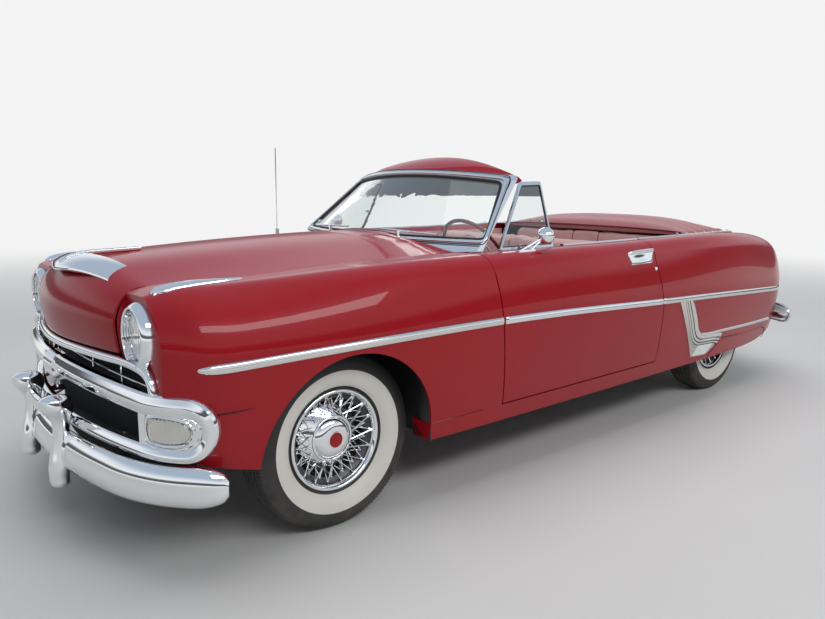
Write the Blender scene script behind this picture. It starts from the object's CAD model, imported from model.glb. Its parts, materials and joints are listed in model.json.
"""Visual model of a 1950s full-size convertible car, built over its CAD frame.

Sizes are in metres: +X is forward, +Y is the car's left, +Z is up.
"""
import json
import logging
import math
from dataclasses import dataclass
from enum import Enum

import bmesh
import bpy
import numpy as np
from mathutils import Matrix, Vector
from numpy.typing import ArrayLike


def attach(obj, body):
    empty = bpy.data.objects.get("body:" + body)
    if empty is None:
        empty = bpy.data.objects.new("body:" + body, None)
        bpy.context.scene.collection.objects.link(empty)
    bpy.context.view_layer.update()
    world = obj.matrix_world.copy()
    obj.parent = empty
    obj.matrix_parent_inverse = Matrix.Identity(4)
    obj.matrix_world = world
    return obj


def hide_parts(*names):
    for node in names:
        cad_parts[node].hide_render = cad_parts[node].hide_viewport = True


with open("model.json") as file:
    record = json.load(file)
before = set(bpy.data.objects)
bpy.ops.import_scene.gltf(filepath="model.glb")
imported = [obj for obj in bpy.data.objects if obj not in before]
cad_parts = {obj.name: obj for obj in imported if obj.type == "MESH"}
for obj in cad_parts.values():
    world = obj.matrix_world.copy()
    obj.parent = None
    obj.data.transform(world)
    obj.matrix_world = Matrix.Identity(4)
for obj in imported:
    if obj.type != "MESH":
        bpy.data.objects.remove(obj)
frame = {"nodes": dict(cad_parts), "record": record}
LOG = logging.getLogger("convertible")
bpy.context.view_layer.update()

FRONT_AXLE_X = 1.713
REAR_AXLE_X = -1.437
AXLE_Z = 0.361
FRONT_HALF_TRACK = 0.743
REAR_HALF_TRACK = 0.705

UP = (0.0, 0.0, 1.0)
SIDEWAYS = (0.0, 1.0, 0.0)
SIGNS = (-1.0, 1.0)


class Side(Enum):
    """Side of the car, as the sign of Y."""
    LEFT = 1.0
    RIGHT = -1.0

    @property
    def word(self) -> str:
        """Word used in node and body names."""
        return self.name.lower()


# Curves and grids

def angles(count: int) -> np.ndarray:
    """Even angles round a full turn, without its end."""
    return np.linspace(0, 2 * np.pi, count, endpoint=False)


def unit(vectors: np.ndarray) -> np.ndarray:
    """Vectors brought to length one."""
    return vectors / np.linalg.norm(vectors, axis=-1, keepdims=True)


def run_along(points: np.ndarray) -> np.ndarray:
    """Length run along a line of points, from zero."""
    return np.concatenate([[0], np.cumsum(np.linalg.norm(np.diff(points, axis=0), axis=1))])


def arrays(*values: ArrayLike) -> list:
    """Values as float arrays of one common shape."""
    return [np.array(value, float) for value in np.broadcast_arrays(*values)]


def xyz(x: ArrayLike, y: ArrayLike, z: ArrayLike) -> np.ndarray:
    """Points from coordinates that are spread over one another."""
    return np.stack(np.broadcast_arrays(x, y, z), -1)


def squared(wave: np.ndarray, power: float) -> np.ndarray:
    """Signed power of a sine or cosine, which squares up a round outline."""
    return np.sign(wave) * np.abs(wave) ** power


def with_poles(grid: np.ndarray) -> np.ndarray:
    """Grid with its first and last rows closed to their middles."""
    poles = grid[[0, -1]].mean(1, keepdims=True).repeat(grid.shape[1], 1)
    return np.concatenate([poles[:1], grid, poles[1:]])


def spline(xs: ArrayLike, ys: ArrayLike, at: ArrayLike) -> np.ndarray:
    """Natural cubic spline through given points.

    The second derivatives solve the usual three-term linear system, and each span is the cubic
    with those end values.

    Args:
        xs: rising positions of the points.
        ys: values there, one row per point.
        at: positions wanted.

    Returns:
        The values at those positions.
    """
    xs, ys, at = np.asarray(xs, float), np.asarray(ys, float), np.asarray(at, float)
    flat = ys.reshape(len(xs), -1)
    gap = np.diff(xs)
    system = np.eye(len(xs))
    right = np.zeros_like(flat)
    row = np.arange(1, len(xs) - 1)
    system[row, row - 1], system[row, row + 1] = gap[:-1], gap[1:]
    system[row, row] = 2 * (gap[:-1] + gap[1:])
    slope = np.diff(flat, axis=0) / gap[:, None]
    right[1:-1] = 6 * np.diff(slope, axis=0)
    bend = np.linalg.solve(system, right)
    span = np.clip(np.searchsorted(xs, at.ravel()) - 1, 0, len(xs) - 2)
    h = gap[span][:, None]
    a = (xs[span + 1][:, None] - at.reshape(-1, 1)) / h
    b = 1.0 - a
    value = (a * flat[span] + b * flat[span + 1]
             + ((a ** 3 - a) * bend[span] + (b ** 3 - b) * bend[span + 1]) * h * h / 6)
    return value.reshape(at.shape + ys.shape[1:])


def resample(points: ArrayLike, count: int) -> np.ndarray:
    """Cubic spline through points over their chord length, at equal steps.

    Args:
        points: rows of points.
        count: how many points to return.

    Returns:
        The new points.
    """
    points = np.asarray(points, float)
    run = run_along(points)
    return spline(run, points, np.linspace(0, run[-1], count))


def arc3(a: ArrayLike, b: ArrayLike, c: ArrayLike, count: int) -> np.ndarray:
    """Circle through three plane points.

    Args:
        a: first point.
        b: point between them.
        c: last point.
        count: how many points to return.

    Returns:
        (count, 2) points from the first to the last.
    """
    (ax, ay), (bx, by), (cx, cy) = a, b, c
    d = 2 * (ax * (by - cy) + bx * (cy - ay) + cx * (ay - by))
    a2, b2, c2 = ax**2 + ay**2, bx**2 + by**2, cx**2 + cy**2
    ux = (a2 * (by - cy) + b2 * (cy - ay) + c2 * (ay - by)) / d
    uy = (a2 * (cx - bx) + b2 * (ax - cx) + c2 * (bx - ax)) / d
    angle = np.unwrap([math.atan2(y - uy, x - ux) for x, y in (a, b, c)])
    t = np.linspace(angle[0], angle[2], count)
    radius = math.hypot(ax - ux, ay - uy)
    return np.stack([ux + radius * np.cos(t), uy + radius * np.sin(t)], -1)


def turned(profile: ArrayLike, steps: int) -> np.ndarray:
    """Profile turned about Y: (radius cos a, along, radius sin a) at angle a.

    Args:
        profile: rows of (radius, along).
        steps: how many angles.

    Returns:
        (steps, rows, 3) grid, wrapped in its first index.
    """
    radius, along = np.asarray(profile, float).T
    a = angles(steps)[:, None]
    return xyz(np.cos(a) * radius, along, np.sin(a) * radius)


def swept(path: ArrayLike, section: ArrayLike, up: ArrayLike = UP, scale: ArrayLike = 1.0,
          capped: bool = True) -> np.ndarray:
    """Section carried along a path.

    At each path point the frame is the tangent t, the side n = up x t and the top b = t x n. A
    section row (p, q) lands at path + p n + q b, times the local scale. Capped ends shrink to
    their middle.

    Args:
        path: (n, 3) points.
        section: (k, 2) closed outline.
        up: direction that stays above the section.
        scale: one factor, or one for each path point.
        capped: whether both ends are closed to a point.

    Returns:
        (n, k, 3) grid, wrapped in its second index.
    """
    path, section = np.asarray(path, float), np.asarray(section, float)
    tangent = unit(np.gradient(path, axis=0))
    side = unit(np.cross(np.asarray(up, float), tangent))
    top = np.cross(tangent, side)
    factor = np.broadcast_to(scale, (len(path),))
    if capped:
        path, side, top = (np.concatenate([v[:1], v, v[-1:]]) for v in (path, side, top))
        factor = np.concatenate([[0.0], factor, [0.0]])
    offset = side[:, None] * section[:, :1] + top[:, None] * section[:, 1:]
    return path[:, None] + offset * factor[:, None, None]


def ring(radius: float, sides: int, flat: float = 1.0) -> np.ndarray:
    """Outline of a circle, or of an ellipse flattened in its second direction."""
    a = angles(sides)
    return np.stack([radius * np.cos(a), radius * flat * np.sin(a)], -1)


def oval(half_up: float, front: float, back: float, count: int = 28, square: float = 0.75) -> np.ndarray:
    """Outline (out, up) of a pressed bar: a superellipse, fuller in front than behind.

    Args:
        half_up: half height.
        front: reach in front.
        back: reach behind.
        count: how many points to return.
        square: power of sine and cosine, less than one for squarer corners.

    Returns:
        (count, 2) closed outline.
    """
    a = angles(count)
    out, up = squared(np.cos(a), square), squared(np.sin(a), square)
    return np.stack([np.where(out > 0, front, back) * out, half_up * up], -1)


def rounded_box(low: ArrayLike, high: ArrayLike, radius: float, around: int) -> np.ndarray:
    """Closed box with round edges, as one grid from its bottom pole to its top pole.

    Each level is a rounded rectangle, the superellipse |x|^n + |y|^n = 1, and the levels run over
    a superellipse upright cut.

    Args:
        low: lowest corner.
        high: highest corner.
        radius: how round the edges are, smaller is squarer.
        around: half the number of steps round one level.

    Returns:
        (levels, steps, 3) grid, wrapped in its second index.
    """
    low, high = np.asarray(low, float), np.asarray(high, float)
    half, mid = (high - low) / 2, (high + low) / 2
    power_x, power_y, power_z, power_level = np.clip(2 * radius / np.append(half, half[:2].min()), 0.04, 1.0)
    a = angles(2 * around)
    v = np.linspace(-np.pi / 2, np.pi / 2, around)[:, None]
    wide = squared(np.cos(v), power_level)
    return mid + half * xyz(wide * squared(np.cos(a), power_x), wide * squared(np.sin(a), power_y),
                            squared(np.sin(v), power_z))


def wrap_plan(mid_x: float, side_x: float, half: float, end_x: float, end_y: float,
              count: int) -> np.ndarray:
    """Plan path of a wrap-round bar over the whole width, right end to left end.

    The middle is one circle through (side_x, -half), (mid_x, 0), (side_x, half), and each end is
    the circle tangent to it that reaches (end_x, end_y).

    Args:
        mid_x: place of the middle.
        side_x: place where the middle circle ends.
        half: half width there.
        end_x: place of the end.
        end_y: half width at the end.
        count: points on half the middle circle.

    Returns:
        (n, 2) plan points.
    """
    sag = mid_x - side_x
    radius = (half * half + sag * sag) / (2 * sag)
    angle = np.linspace(0, math.asin(half / radius), count)
    inner = np.stack([mid_x - radius + radius * np.cos(angle), radius * np.sin(angle)], -1)
    tangent = np.array([-math.sin(angle[-1]), math.cos(angle[-1])])
    normal = np.array([-tangent[1], tangent[0]])
    chord = np.array([end_x - side_x, end_y - half])
    bend = chord @ chord / (2 * (chord @ normal))
    centre = inner[-1] + normal * bend
    start, end = inner[-1] - centre, np.array([end_x, end_y]) - centre
    turn = math.atan2(start[0] * end[1] - start[1] * end[0], start @ end)
    t = np.linspace(0, turn, count // 2)[1:, None]
    outer = centre + start * np.cos(t) + np.array([-start[1], start[0]]) * np.sin(t)
    left = np.vstack([inner, outer])
    return np.vstack([left[:0:-1] * [1, -1], left])


# Node groups and finishes

Input = float | tuple | bpy.types.NodeSocket


class Wire:
    """Short-hand for laying nodes into one node tree."""

    def __init__(self, tree: bpy.types.NodeTree) -> None:
        """Keeps the tree."""
        self.tree = tree

    def node(self, kind: str, inputs: dict | None = None, **settings: object) -> bpy.types.Node:
        """New node.

        Args:
            kind: Blender's name of the node type.
            inputs: value or socket for each input, by name or number.
            settings: the node's own settings.

        Returns:
            The node.
        """
        made = self.tree.nodes.new(kind)
        for key, value in settings.items():
            setattr(made, key, value)
        for key, value in (inputs or {}).items():
            self.put(made.inputs[key], value)
        return made

    def put(self, socket: bpy.types.NodeSocket, value: Input) -> None:
        """Sets a socket, or links it when the value is a socket.

        Args:
            socket: input socket.
            value: number, colour or output socket.
        """
        if isinstance(value, bpy.types.NodeSocket):
            self.tree.links.new(value, socket)
        else:
            socket.default_value = value

    def math(self, operation: str, a: Input, b: Input = 0.0, clamp: bool = False) -> bpy.types.NodeSocket:
        """Output of one Math node."""
        return self.node("ShaderNodeMath", {0: a, 1: b}, operation=operation, use_clamp=clamp).outputs[0]

    def mix(self, factor: Input, a: Input, b: Input) -> bpy.types.NodeSocket:
        """Output of a colour mix, whose sockets 0, 6 and 7 are the factor and both colours."""
        return self.node("ShaderNodeMix", {0: factor, 6: a, 7: b}, data_type="RGBA").outputs[2]

    def ramp(self, value: Input, low: float, high: float) -> bpy.types.NodeSocket:
        """Smooth step of a value between two limits.

        Args:
            value: number or output socket.
            low: where the step starts.
            high: where it ends.

        Returns:
            Its output.
        """
        made = self.node("ShaderNodeMapRange", {"Value": value, "From Min": low, "From Max": high},
                         interpolation_type="SMOOTHSTEP")
        return made.outputs["Result"]

    def noise(self, vector: Input, scale: Input, detail: float = 3.0,
              roughness: float = 0.5) -> bpy.types.NodeSocket:
        """Noise value on a vector.

        Args:
            vector: output socket of the place.
            scale: how fine the noise is.
            detail: how many finer layers it has.
            roughness: strength of the finer layers.

        Returns:
            Its output.
        """
        made = self.node("ShaderNodeTexNoise", {"Vector": vector, "Scale": scale, "Detail": detail,
                                                "Roughness": roughness})
        return made.outputs["Fac"]

    def place(self) -> bpy.types.NodeSocket:
        """Object coordinates of the shaded point."""
        return self.node("ShaderNodeTexCoord").outputs["Object"]


GRAY = (0.5, 0.5, 0.5, 1)
ROAD_DUST = (0.23, 0.2, 0.17, 1)
COAT_ROUGHNESS = 0.02
BUMP_STRENGTH = 0.6


def new_group(name: str, colors: dict, numbers: dict, outputs: tuple) -> tuple:
    """Empty shader node group with named sockets.

    Args:
        name: group name.
        colors: default of each colour input.
        numbers: default of each number input.
        outputs: names of the outputs.

    Returns:
        The group, its wiring helper, its input sockets and its output node's sockets.
    """
    group = bpy.data.node_groups.new(name, "ShaderNodeTree")
    kinds = {label: "NodeSocketColor" if label == "Color" else "NodeSocketFloat" for label in outputs}
    for label, default in (colors | numbers).items():
        kind = "NodeSocketColor" if label in colors else "NodeSocketFloat"
        group.interface.new_socket(label, in_out="INPUT", socket_type=kind).default_value = default
    for label, kind in kinds.items():
        group.interface.new_socket(label, in_out="OUTPUT", socket_type=kind)
    wire = Wire(group)
    return group, wire, wire.node("NodeGroupInput").outputs, wire.node("NodeGroupOutput").inputs


def mottle_group() -> bpy.types.NodeTree:
    """Slow drift of a colour and its roughness, as polish, wear and handling leave it.

    Returns:
        The group.
    """
    group, wire, source, sink = new_group(
        "mottle", {"Color": GRAY, "Second": GRAY},
        {"Scale": 3.0, "Amount": 0.3, "Roughness": 0.3, "Spread": 0.05}, ("Color", "Roughness"))
    noise = wire.noise(wire.place(), source["Scale"], 4.0, 0.55)
    share = wire.math("MULTIPLY", wire.ramp(noise, 0.35, 0.68), source["Amount"])
    wire.put(sink["Color"], wire.mix(share, source["Color"], source["Second"]))
    swing = wire.math("MULTIPLY", wire.math("SUBTRACT", noise, 0.5), source["Spread"])
    wire.put(sink["Roughness"], wire.math("ADD", source["Roughness"], swing, clamp=True))
    return group


def grain_group() -> bpy.types.NodeTree:
    """Pebbled surface of leather, vinyl, carpet or cast metal, as a height.

    Returns:
        The group.
    """
    group, wire, source, sink = new_group("grain", {}, {"Scale": 400.0, "Blend": 0.5}, ("Height",))
    spot = wire.place()
    cells = wire.node("ShaderNodeTexVoronoi", {"Vector": spot, "Scale": source["Scale"]},
                      feature="SMOOTH_F1").outputs["Distance"]
    fine = wire.noise(spot, source["Scale"])
    lifted = wire.node("ShaderNodeMix", {0: source["Blend"], 2: cells, 3: fine}, data_type="FLOAT")
    wire.put(sink["Height"], lifted.outputs[0])
    return group


def dust_group() -> bpy.types.NodeTree:
    """Road dust that settles low on the car, as a mixed colour and roughness.

    Returns:
        The group.
    """
    group, wire, source, sink = new_group(
        "dust", {"Color": GRAY}, {"Roughness": 0.5, "Amount": 0.3, "Reach": 0.5}, ("Color", "Roughness"))
    spot = wire.place()
    height = wire.node("ShaderNodeSeparateXYZ", {0: spot}).outputs["Z"]
    low = wire.math("SUBTRACT", 1.0, wire.math("DIVIDE", height, source["Reach"]), clamp=True)
    patch = wire.ramp(wire.noise(spot, 9.0, 5.0, 0.65), 0.3, 0.7)
    share = wire.math("MULTIPLY", wire.math("MULTIPLY", low, patch), source["Amount"])
    wire.put(sink["Color"], wire.mix(share, source["Color"], ROAD_DUST))
    wire.put(sink["Roughness"], wire.math("ADD", source["Roughness"], share, clamp=True))
    return group


GROUPS = {"mottle": mottle_group(), "grain": grain_group(), "dust": dust_group()}


class Kind(Enum):
    """How a finish treats its surface beside colour and roughness."""
    PLAIN = "plain"
    GRAINED = "grained"
    DUSTY = "dusty"


@dataclass(frozen=True)
class Finish:
    """One finish: its colours, gloss and surface treatment."""
    name: str
    color: tuple
    second: tuple
    roughness: float
    metallic: float = 0.0
    coat: float = 0.0
    sheen: float = 0.0
    kind: Kind = Kind.PLAIN
    drift_scale: float = 3.0
    drift: float = 0.3
    spread: float = 0.06
    grain: float = 400.0
    depth: float = 0.0004
    dust: float = 0.3
    clear: float = 0.0
    ior: float = 1.5
    specular: float = 0.5

    def make(self) -> bpy.types.Material:
        """Material of this finish, made once.

        Returns:
            The material.
        """
        if self.name in bpy.data.materials:
            return bpy.data.materials[self.name]
        material = bpy.data.materials.new(self.name)
        material.use_nodes = True
        wire = Wire(material.node_tree)
        shader = material.node_tree.nodes["Principled BSDF"].inputs
        plain = {"Metallic": self.metallic, "IOR": self.ior, "Coat Weight": self.coat,
                 "Coat Roughness": COAT_ROUGHNESS, "Specular IOR Level": self.specular,
                 "Sheen Weight": self.sheen, "Transmission Weight": self.clear}
        for label, value in plain.items():
            shader[label].default_value = value
        look = wire.node("ShaderNodeGroup", node_tree=GROUPS["mottle"])
        settings = {"Color": (*self.color, 1), "Second": (*self.second, 1), "Scale": self.drift_scale,
                    "Amount": self.drift, "Roughness": self.roughness, "Spread": self.spread}
        for label, value in settings.items():
            wire.put(look.inputs[label], value)
        if self.kind is Kind.DUSTY:
            base = look.outputs
            look = wire.node("ShaderNodeGroup", node_tree=GROUPS["dust"])
            settings = {"Color": base["Color"], "Roughness": base["Roughness"], "Amount": self.dust}
            for label, value in settings.items():
                wire.put(look.inputs[label], value)
        if self.kind is Kind.GRAINED:
            grain = wire.node("ShaderNodeGroup", node_tree=GROUPS["grain"])
            wire.put(grain.inputs["Scale"], self.grain)
            bump = wire.node("ShaderNodeBump", {"Height": grain.outputs["Height"], "Distance": self.depth,
                                                "Strength": BUMP_STRENGTH})
            wire.put(shader["Normal"], bump.outputs["Normal"])
        wire.put(shader["Base Color"], look.outputs["Color"])
        wire.put(shader["Roughness"], look.outputs["Roughness"])
        return material


PAINT = Finish("deep_red_paint", (0.36, 0.003, 0.010), (0.30, 0.003, 0.009), 0.32, coat=0.42,
               drift_scale=1.5, drift=0.5, spread=0.04, specular=0.15)
CHROME = Finish("bright_chrome", (0.86, 0.87, 0.88), (0.8, 0.82, 0.84), 0.05, metallic=1.0,
                drift_scale=6.0, spread=0.04)
STAINLESS = Finish("stainless_trim", (0.76, 0.75, 0.72), (0.68, 0.67, 0.65), 0.14, metallic=1.0,
                   drift_scale=14.0, spread=0.08)
TREAD = Finish("black_tyre_rubber", (0.022, 0.022, 0.023), (0.034, 0.033, 0.032), 0.62,
               kind=Kind.DUSTY, drift_scale=12.0, dust=0.35)
WHITEWALL = Finish("white_sidewall", (0.78, 0.76, 0.7), (0.7, 0.67, 0.6), 0.45, drift_scale=7.0)
UNDERBODY = Finish("black_underbody", (0.03, 0.03, 0.031), (0.05, 0.045, 0.04), 0.65,
                   kind=Kind.DUSTY, dust=0.5)
IRON = Finish("cast_iron", (0.05, 0.052, 0.055), (0.075, 0.07, 0.065), 0.55, metallic=0.4,
              kind=Kind.GRAINED, grain=180.0)
LEATHER = Finish("rose_leather", (0.62, 0.36, 0.34), (0.54, 0.29, 0.28), 0.42, sheen=0.15,
                 kind=Kind.GRAINED, grain=520.0, drift_scale=5.0)
LEATHER_RED = Finish("dark_red_leather", (0.2, 0.018, 0.024), (0.15, 0.014, 0.02), 0.4, sheen=0.1,
                     kind=Kind.GRAINED, grain=520.0)
RIM_INSIDE = Finish("dull_rim_steel", (0.10, 0.10, 0.105), (0.07, 0.07, 0.072), 0.45, metallic=0.8)
BOOT_CLOTH = Finish("dusty_rose_canvas", (0.42, 0.15, 0.16), (0.36, 0.12, 0.13), 0.7, sheen=0.4,
                    kind=Kind.GRAINED, grain=900.0, depth=0.0006)
CARPET = Finish("red_carpet", (0.16, 0.02, 0.024), (0.11, 0.014, 0.018), 0.95, sheen=0.5,
                kind=Kind.GRAINED, grain=1200.0, depth=0.002)
GLASS = Finish("clear_glass", (0.93, 0.97, 0.95), (0.93, 0.97, 0.95), 0.0, clear=1.0, ior=1.45, spread=0.0)
LENS = Finish("clear_lens", (0.95, 0.95, 0.93), (0.92, 0.92, 0.9), 0.03, clear=1.0, ior=1.45, spread=0.0)
RED_LENS = Finish("red_lens", (0.7, 0.01, 0.01), (0.6, 0.01, 0.01), 0.05, clear=0.7, ior=1.5, spread=0.0)
DARK = Finish("dark_recess", (0.008, 0.008, 0.009), (0.012, 0.012, 0.012), 0.8)
RUBBER = Finish("black_gasket_rubber", (0.012, 0.012, 0.013), (0.02, 0.02, 0.02), 0.5)
WHEEL_RED = Finish("dark_red_plastic", (0.20, 0.012, 0.014), (0.16, 0.01, 0.012), 0.22, coat=0.6)
IVORY = Finish("ivory_plastic", (0.62, 0.55, 0.42), (0.56, 0.49, 0.37), 0.25, coat=0.3)
DIAL = Finish("dial_face", (0.02, 0.02, 0.022), (0.03, 0.03, 0.03), 0.4)


# Meshes

RECORD = frame["record"]
BODY_OF = {node: body for body, nodes in RECORD["behaviour"]["bodies"].items() for node in nodes}


class Shape:
    """Grids of points gathered into one mesh."""

    def __init__(self, name: str) -> None:
        """Starts an empty mesh of this name.

        Args:
            name: name of the mesh and its object.
        """
        self.name = name
        self.points: list = []
        self.faces: list = []
        self.slots: list = []
        self.uvs: list = []
        self.count = 0

    def grid(self, points: np.ndarray, wrap_u: bool = False, wrap_v: bool = False,
             slot: int | np.ndarray = 0) -> "Shape":
        """Adds a grid of quads.

        Args:
            points: (nu, nv, 3) positions.
            wrap_u: whether the last row joins the first.
            wrap_v: whether the last column joins the first.
            slot: material number, or an (nv) array of one for each column.

        Returns:
            This shape.
        """
        nu, nv = points.shape[:2]
        u, v = np.meshgrid(np.arange(nu - (not wrap_u)), np.arange(nv - (not wrap_v)), indexing="ij")
        un, vn = (u + 1) % nu, (v + 1) % nv
        quads = np.stack([u * nv + v, un * nv + v, un * nv + vn, u * nv + vn], -1).reshape(-1, 4)
        corners = np.stack([u, v, u + 1, v, u + 1, v + 1, u, v + 1], -1).reshape(-1, 4, 2)
        self.points.append(points.reshape(-1, 3))
        self.faces.append(quads + self.count)
        self.slots.append(np.broadcast_to(np.asarray(slot), (nv,))[v.ravel()])
        self.uvs.append(corners / [nu, nv])
        self.count += nu * nv
        return self

    def block(self, low: ArrayLike, high: ArrayLike) -> "Shape":
        """Adds a plain box between its lowest and its highest corner.

        Args:
            low: lowest corner.
            high: highest corner.

        Returns:
            This shape.
        """
        (x0, y0, z0), (x1, y1, z1) = low, high
        outline = np.array([[x0, y0], [x1, y0], [x1, y1], [x0, y1]])
        rows = [np.column_stack([outline, np.full(4, z)]) for z in (z0, z1)]
        return self.grid(with_poles(np.array(rows)), wrap_v=True)

    def tube(self, path: ArrayLike, section: ArrayLike, up: ArrayLike = UP, scale: ArrayLike = 1.0,
             slot: int = 0) -> "Shape":
        """Adds a section carried along an open path, with closed ends."""
        return self.grid(swept(path, section, up, scale), wrap_v=True, slot=slot)

    def hoop(self, path: np.ndarray, section: ArrayLike, up: ArrayLike = UP) -> "Shape":
        """Adds a section carried round a closed path, whose overlap keeps the slopes going round."""
        path = np.concatenate([path[-2:], path, path[:2]])
        return self.grid(swept(path, section, up, capped=False)[2:-2], wrap_u=True, wrap_v=True)

    def plate(self, front: np.ndarray, back: np.ndarray, slot: int = 0) -> "Shape":
        """Adds two equal grids, closed along their borders into one solid.

        Args:
            front: first grid.
            back: second grid, in the same shape.
            slot: material number.

        Returns:
            This shape.
        """
        self.grid(front, slot=slot).grid(back, slot=slot)
        for edge in (np.s_[0, :], np.s_[-1, :], np.s_[:, 0], np.s_[:, -1]):
            self.grid(np.stack([front[edge], back[edge]]), slot=slot)
        return self

    def flip(self, side: Side) -> "Shape":
        """Mirrors everything so far to the right side when that is asked for."""
        self.points = [p * [1.0, side.value, 1.0] for p in self.points]
        return self

    def mesh(self) -> bpy.types.Mesh:
        """Plain mesh of all the grids, one vertex for each grid point.

        Returns:
            The mesh.
        """
        points, quads = np.concatenate(self.points), np.concatenate(self.faces)
        mesh = bpy.data.meshes.new(self.name)
        mesh.vertices.add(len(points))
        mesh.vertices.foreach_set("co", points.astype(np.float32).ravel())
        mesh.loops.add(quads.size)
        mesh.loops.foreach_set("vertex_index", quads.ravel().astype(np.int32))
        mesh.polygons.add(len(quads))
        mesh.polygons.foreach_set("loop_start", np.arange(0, quads.size, 4, dtype=np.int32))
        mesh.polygons.foreach_set("material_index", np.concatenate(self.slots).astype(np.int32))
        layer = mesh.uv_layers.new(name="surface")
        layer.data.foreach_set("uv", np.concatenate(self.uvs).astype(np.float32).ravel())
        mesh.update(calc_edges=True)
        return mesh

    def make(self, body: str, finishes: list, *hides: str, sharp: float = 35.0,
             doubles: float = 1e-5) -> bpy.types.Object:
        """Mesh object of this shape, with the arguments of dress."""
        return dress(self.mesh(), body, finishes, *hides, sharp=sharp, doubles=doubles)


def dress(mesh: bpy.types.Mesh, body: str, finishes: list, *hides: str, sharp: float = 35.0,
          doubles: float = 1e-5) -> bpy.types.Object:
    """Cleans a mesh, with doubles merged and faces outwards, and puts it on its body.

    Args:
        mesh: the mesh, in place, with the object's name.
        body: body that it rides on.
        finishes: finish of each slot.
        hides: CAD nodes that it stands for.
        sharp: crease angle in degrees.
        doubles: distance under which points are one.

    Returns:
        The object.
    """
    work = bmesh.new()
    work.from_mesh(mesh)
    bmesh.ops.remove_doubles(work, verts=work.verts, dist=doubles)
    bmesh.ops.dissolve_degenerate(work, edges=work.edges, dist=doubles)
    bmesh.ops.recalc_face_normals(work, faces=work.faces)
    work.to_mesh(mesh)
    work.free()
    mesh.shade_smooth()
    mesh.set_sharp_from_angle(angle=math.radians(sharp))
    obj = bpy.data.objects.new(mesh.name, mesh)
    bpy.context.scene.collection.objects.link(obj)
    for finish in finishes:
        mesh.materials.append(finish.make())
    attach(obj, body)
    if hides:
        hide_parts(*hides)
    LOG.info("%s: %d faces", mesh.name, len(mesh.polygons))
    return obj


def paint_node(name: str, finish: Finish) -> None:
    """Gives a CAD node another finish.

    Args:
        name: the node.
        finish: its new finish.
    """
    materials = frame["nodes"][name].data.materials
    materials.clear()
    materials.append(finish.make())


# Painted body

# Upright cuts of the left body side, in millimetres: x, sill_y, sill_z, wide_y, wide_z,
# crest_y, crest_z, shoulder_r, seam_y, seam_z
BODY_CUTS = np.array([
    (-2340, 760, 400, 795, 680, 660, 925, 105, 560, 920),
    (-2190, 825, 362, 868, 680, 715, 985, 115, 600, 980),
    (-1900, 872, 312, 921, 695, 765, 1045, 118, 620, 1038),
    (-1437, 908, 298, 953, 715, 812, 1082, 112, 640, 1073),
    (-350, 925, 296, 973, 738, 835, 1077, 100, 660, 1066),
    (938, 925, 298, 973, 752, 830, 1068, 105, 620, 1057),
    (1713, 915, 318, 957, 765, 778, 1042, 125, 600, 1036),
    (2138, 880, 372, 930, 780, 728, 1020, 128, 570, 1015),
    (2300, 838, 420, 892, 790, 695, 1010, 118, 500, 1005),
    (2400, 770, 470, 812, 805, 655, 985, 108, 460, 978),
]) * 1e-3

# Lengthwise cuts of the hood, in millimetres: y, rear_x, rear_z, nose_x, nose_z, nose_r, lip_x, lip_z
HOOD_CUTS = np.array([
    (0, 780, 1134, 2530, 880, 190, 2516, 768), (240, 780, 1122, 2508, 876, 182, 2494, 768),
    (460, 780, 1092, 2462, 872, 145, 2449, 768), (700, 780, 1056, 2370, 862, 130, 2358, 768),
]) * 1e-3

# Lengthwise cuts of the rear deck, in the same columns
DECK_CUTS = np.array([
    (0, -1480, 1096, -2500, 690, 300, -2470, 440), (260, -1480, 1094, -2480, 690, 298, -2452, 440),
    (480, -1480, 1086, -2430, 688, 290, -2404, 440), (690, -1480, 1072, -2350, 684, 270, -2326, 440),
]) * 1e-3


def nearest_arc(p: np.ndarray, q: np.ndarray, arcs: list) -> tuple:
    """Distance of points to a chain of tangent arcs, with the direction away from it.

    For each arc the angle of the point about its centre is held between the arc's ends, and the
    closest arc wins. The distance is positive outside.

    Args:
        p: first coordinates.
        q: second coordinates.
        arcs: rows of (centre p, centre q, radius, first angle, last angle), each an array.

    Returns:
        The distance and the two parts of the outward direction.
    """
    best = np.full(p.shape, np.inf)
    out_p, out_q, far = np.zeros_like(p), np.zeros_like(p), np.zeros_like(p)
    for cp, cq, radius, start, end in arcs:
        angle = np.arctan2(q - cq, p - cp)
        held = np.clip(angle, np.minimum(start, end), np.maximum(start, end))
        gap = np.hypot(p - cp - radius * np.cos(held), q - cq - radius * np.sin(held))
        closer = gap < best
        best = np.where(closer, gap, best)
        out_p, out_q = np.where(closer, np.cos(held), out_p), np.where(closer, np.sin(held), out_q)
        far = np.where(closer, np.hypot(p - cp, q - cq) - radius, far)
    return far, out_p, out_q


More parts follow.
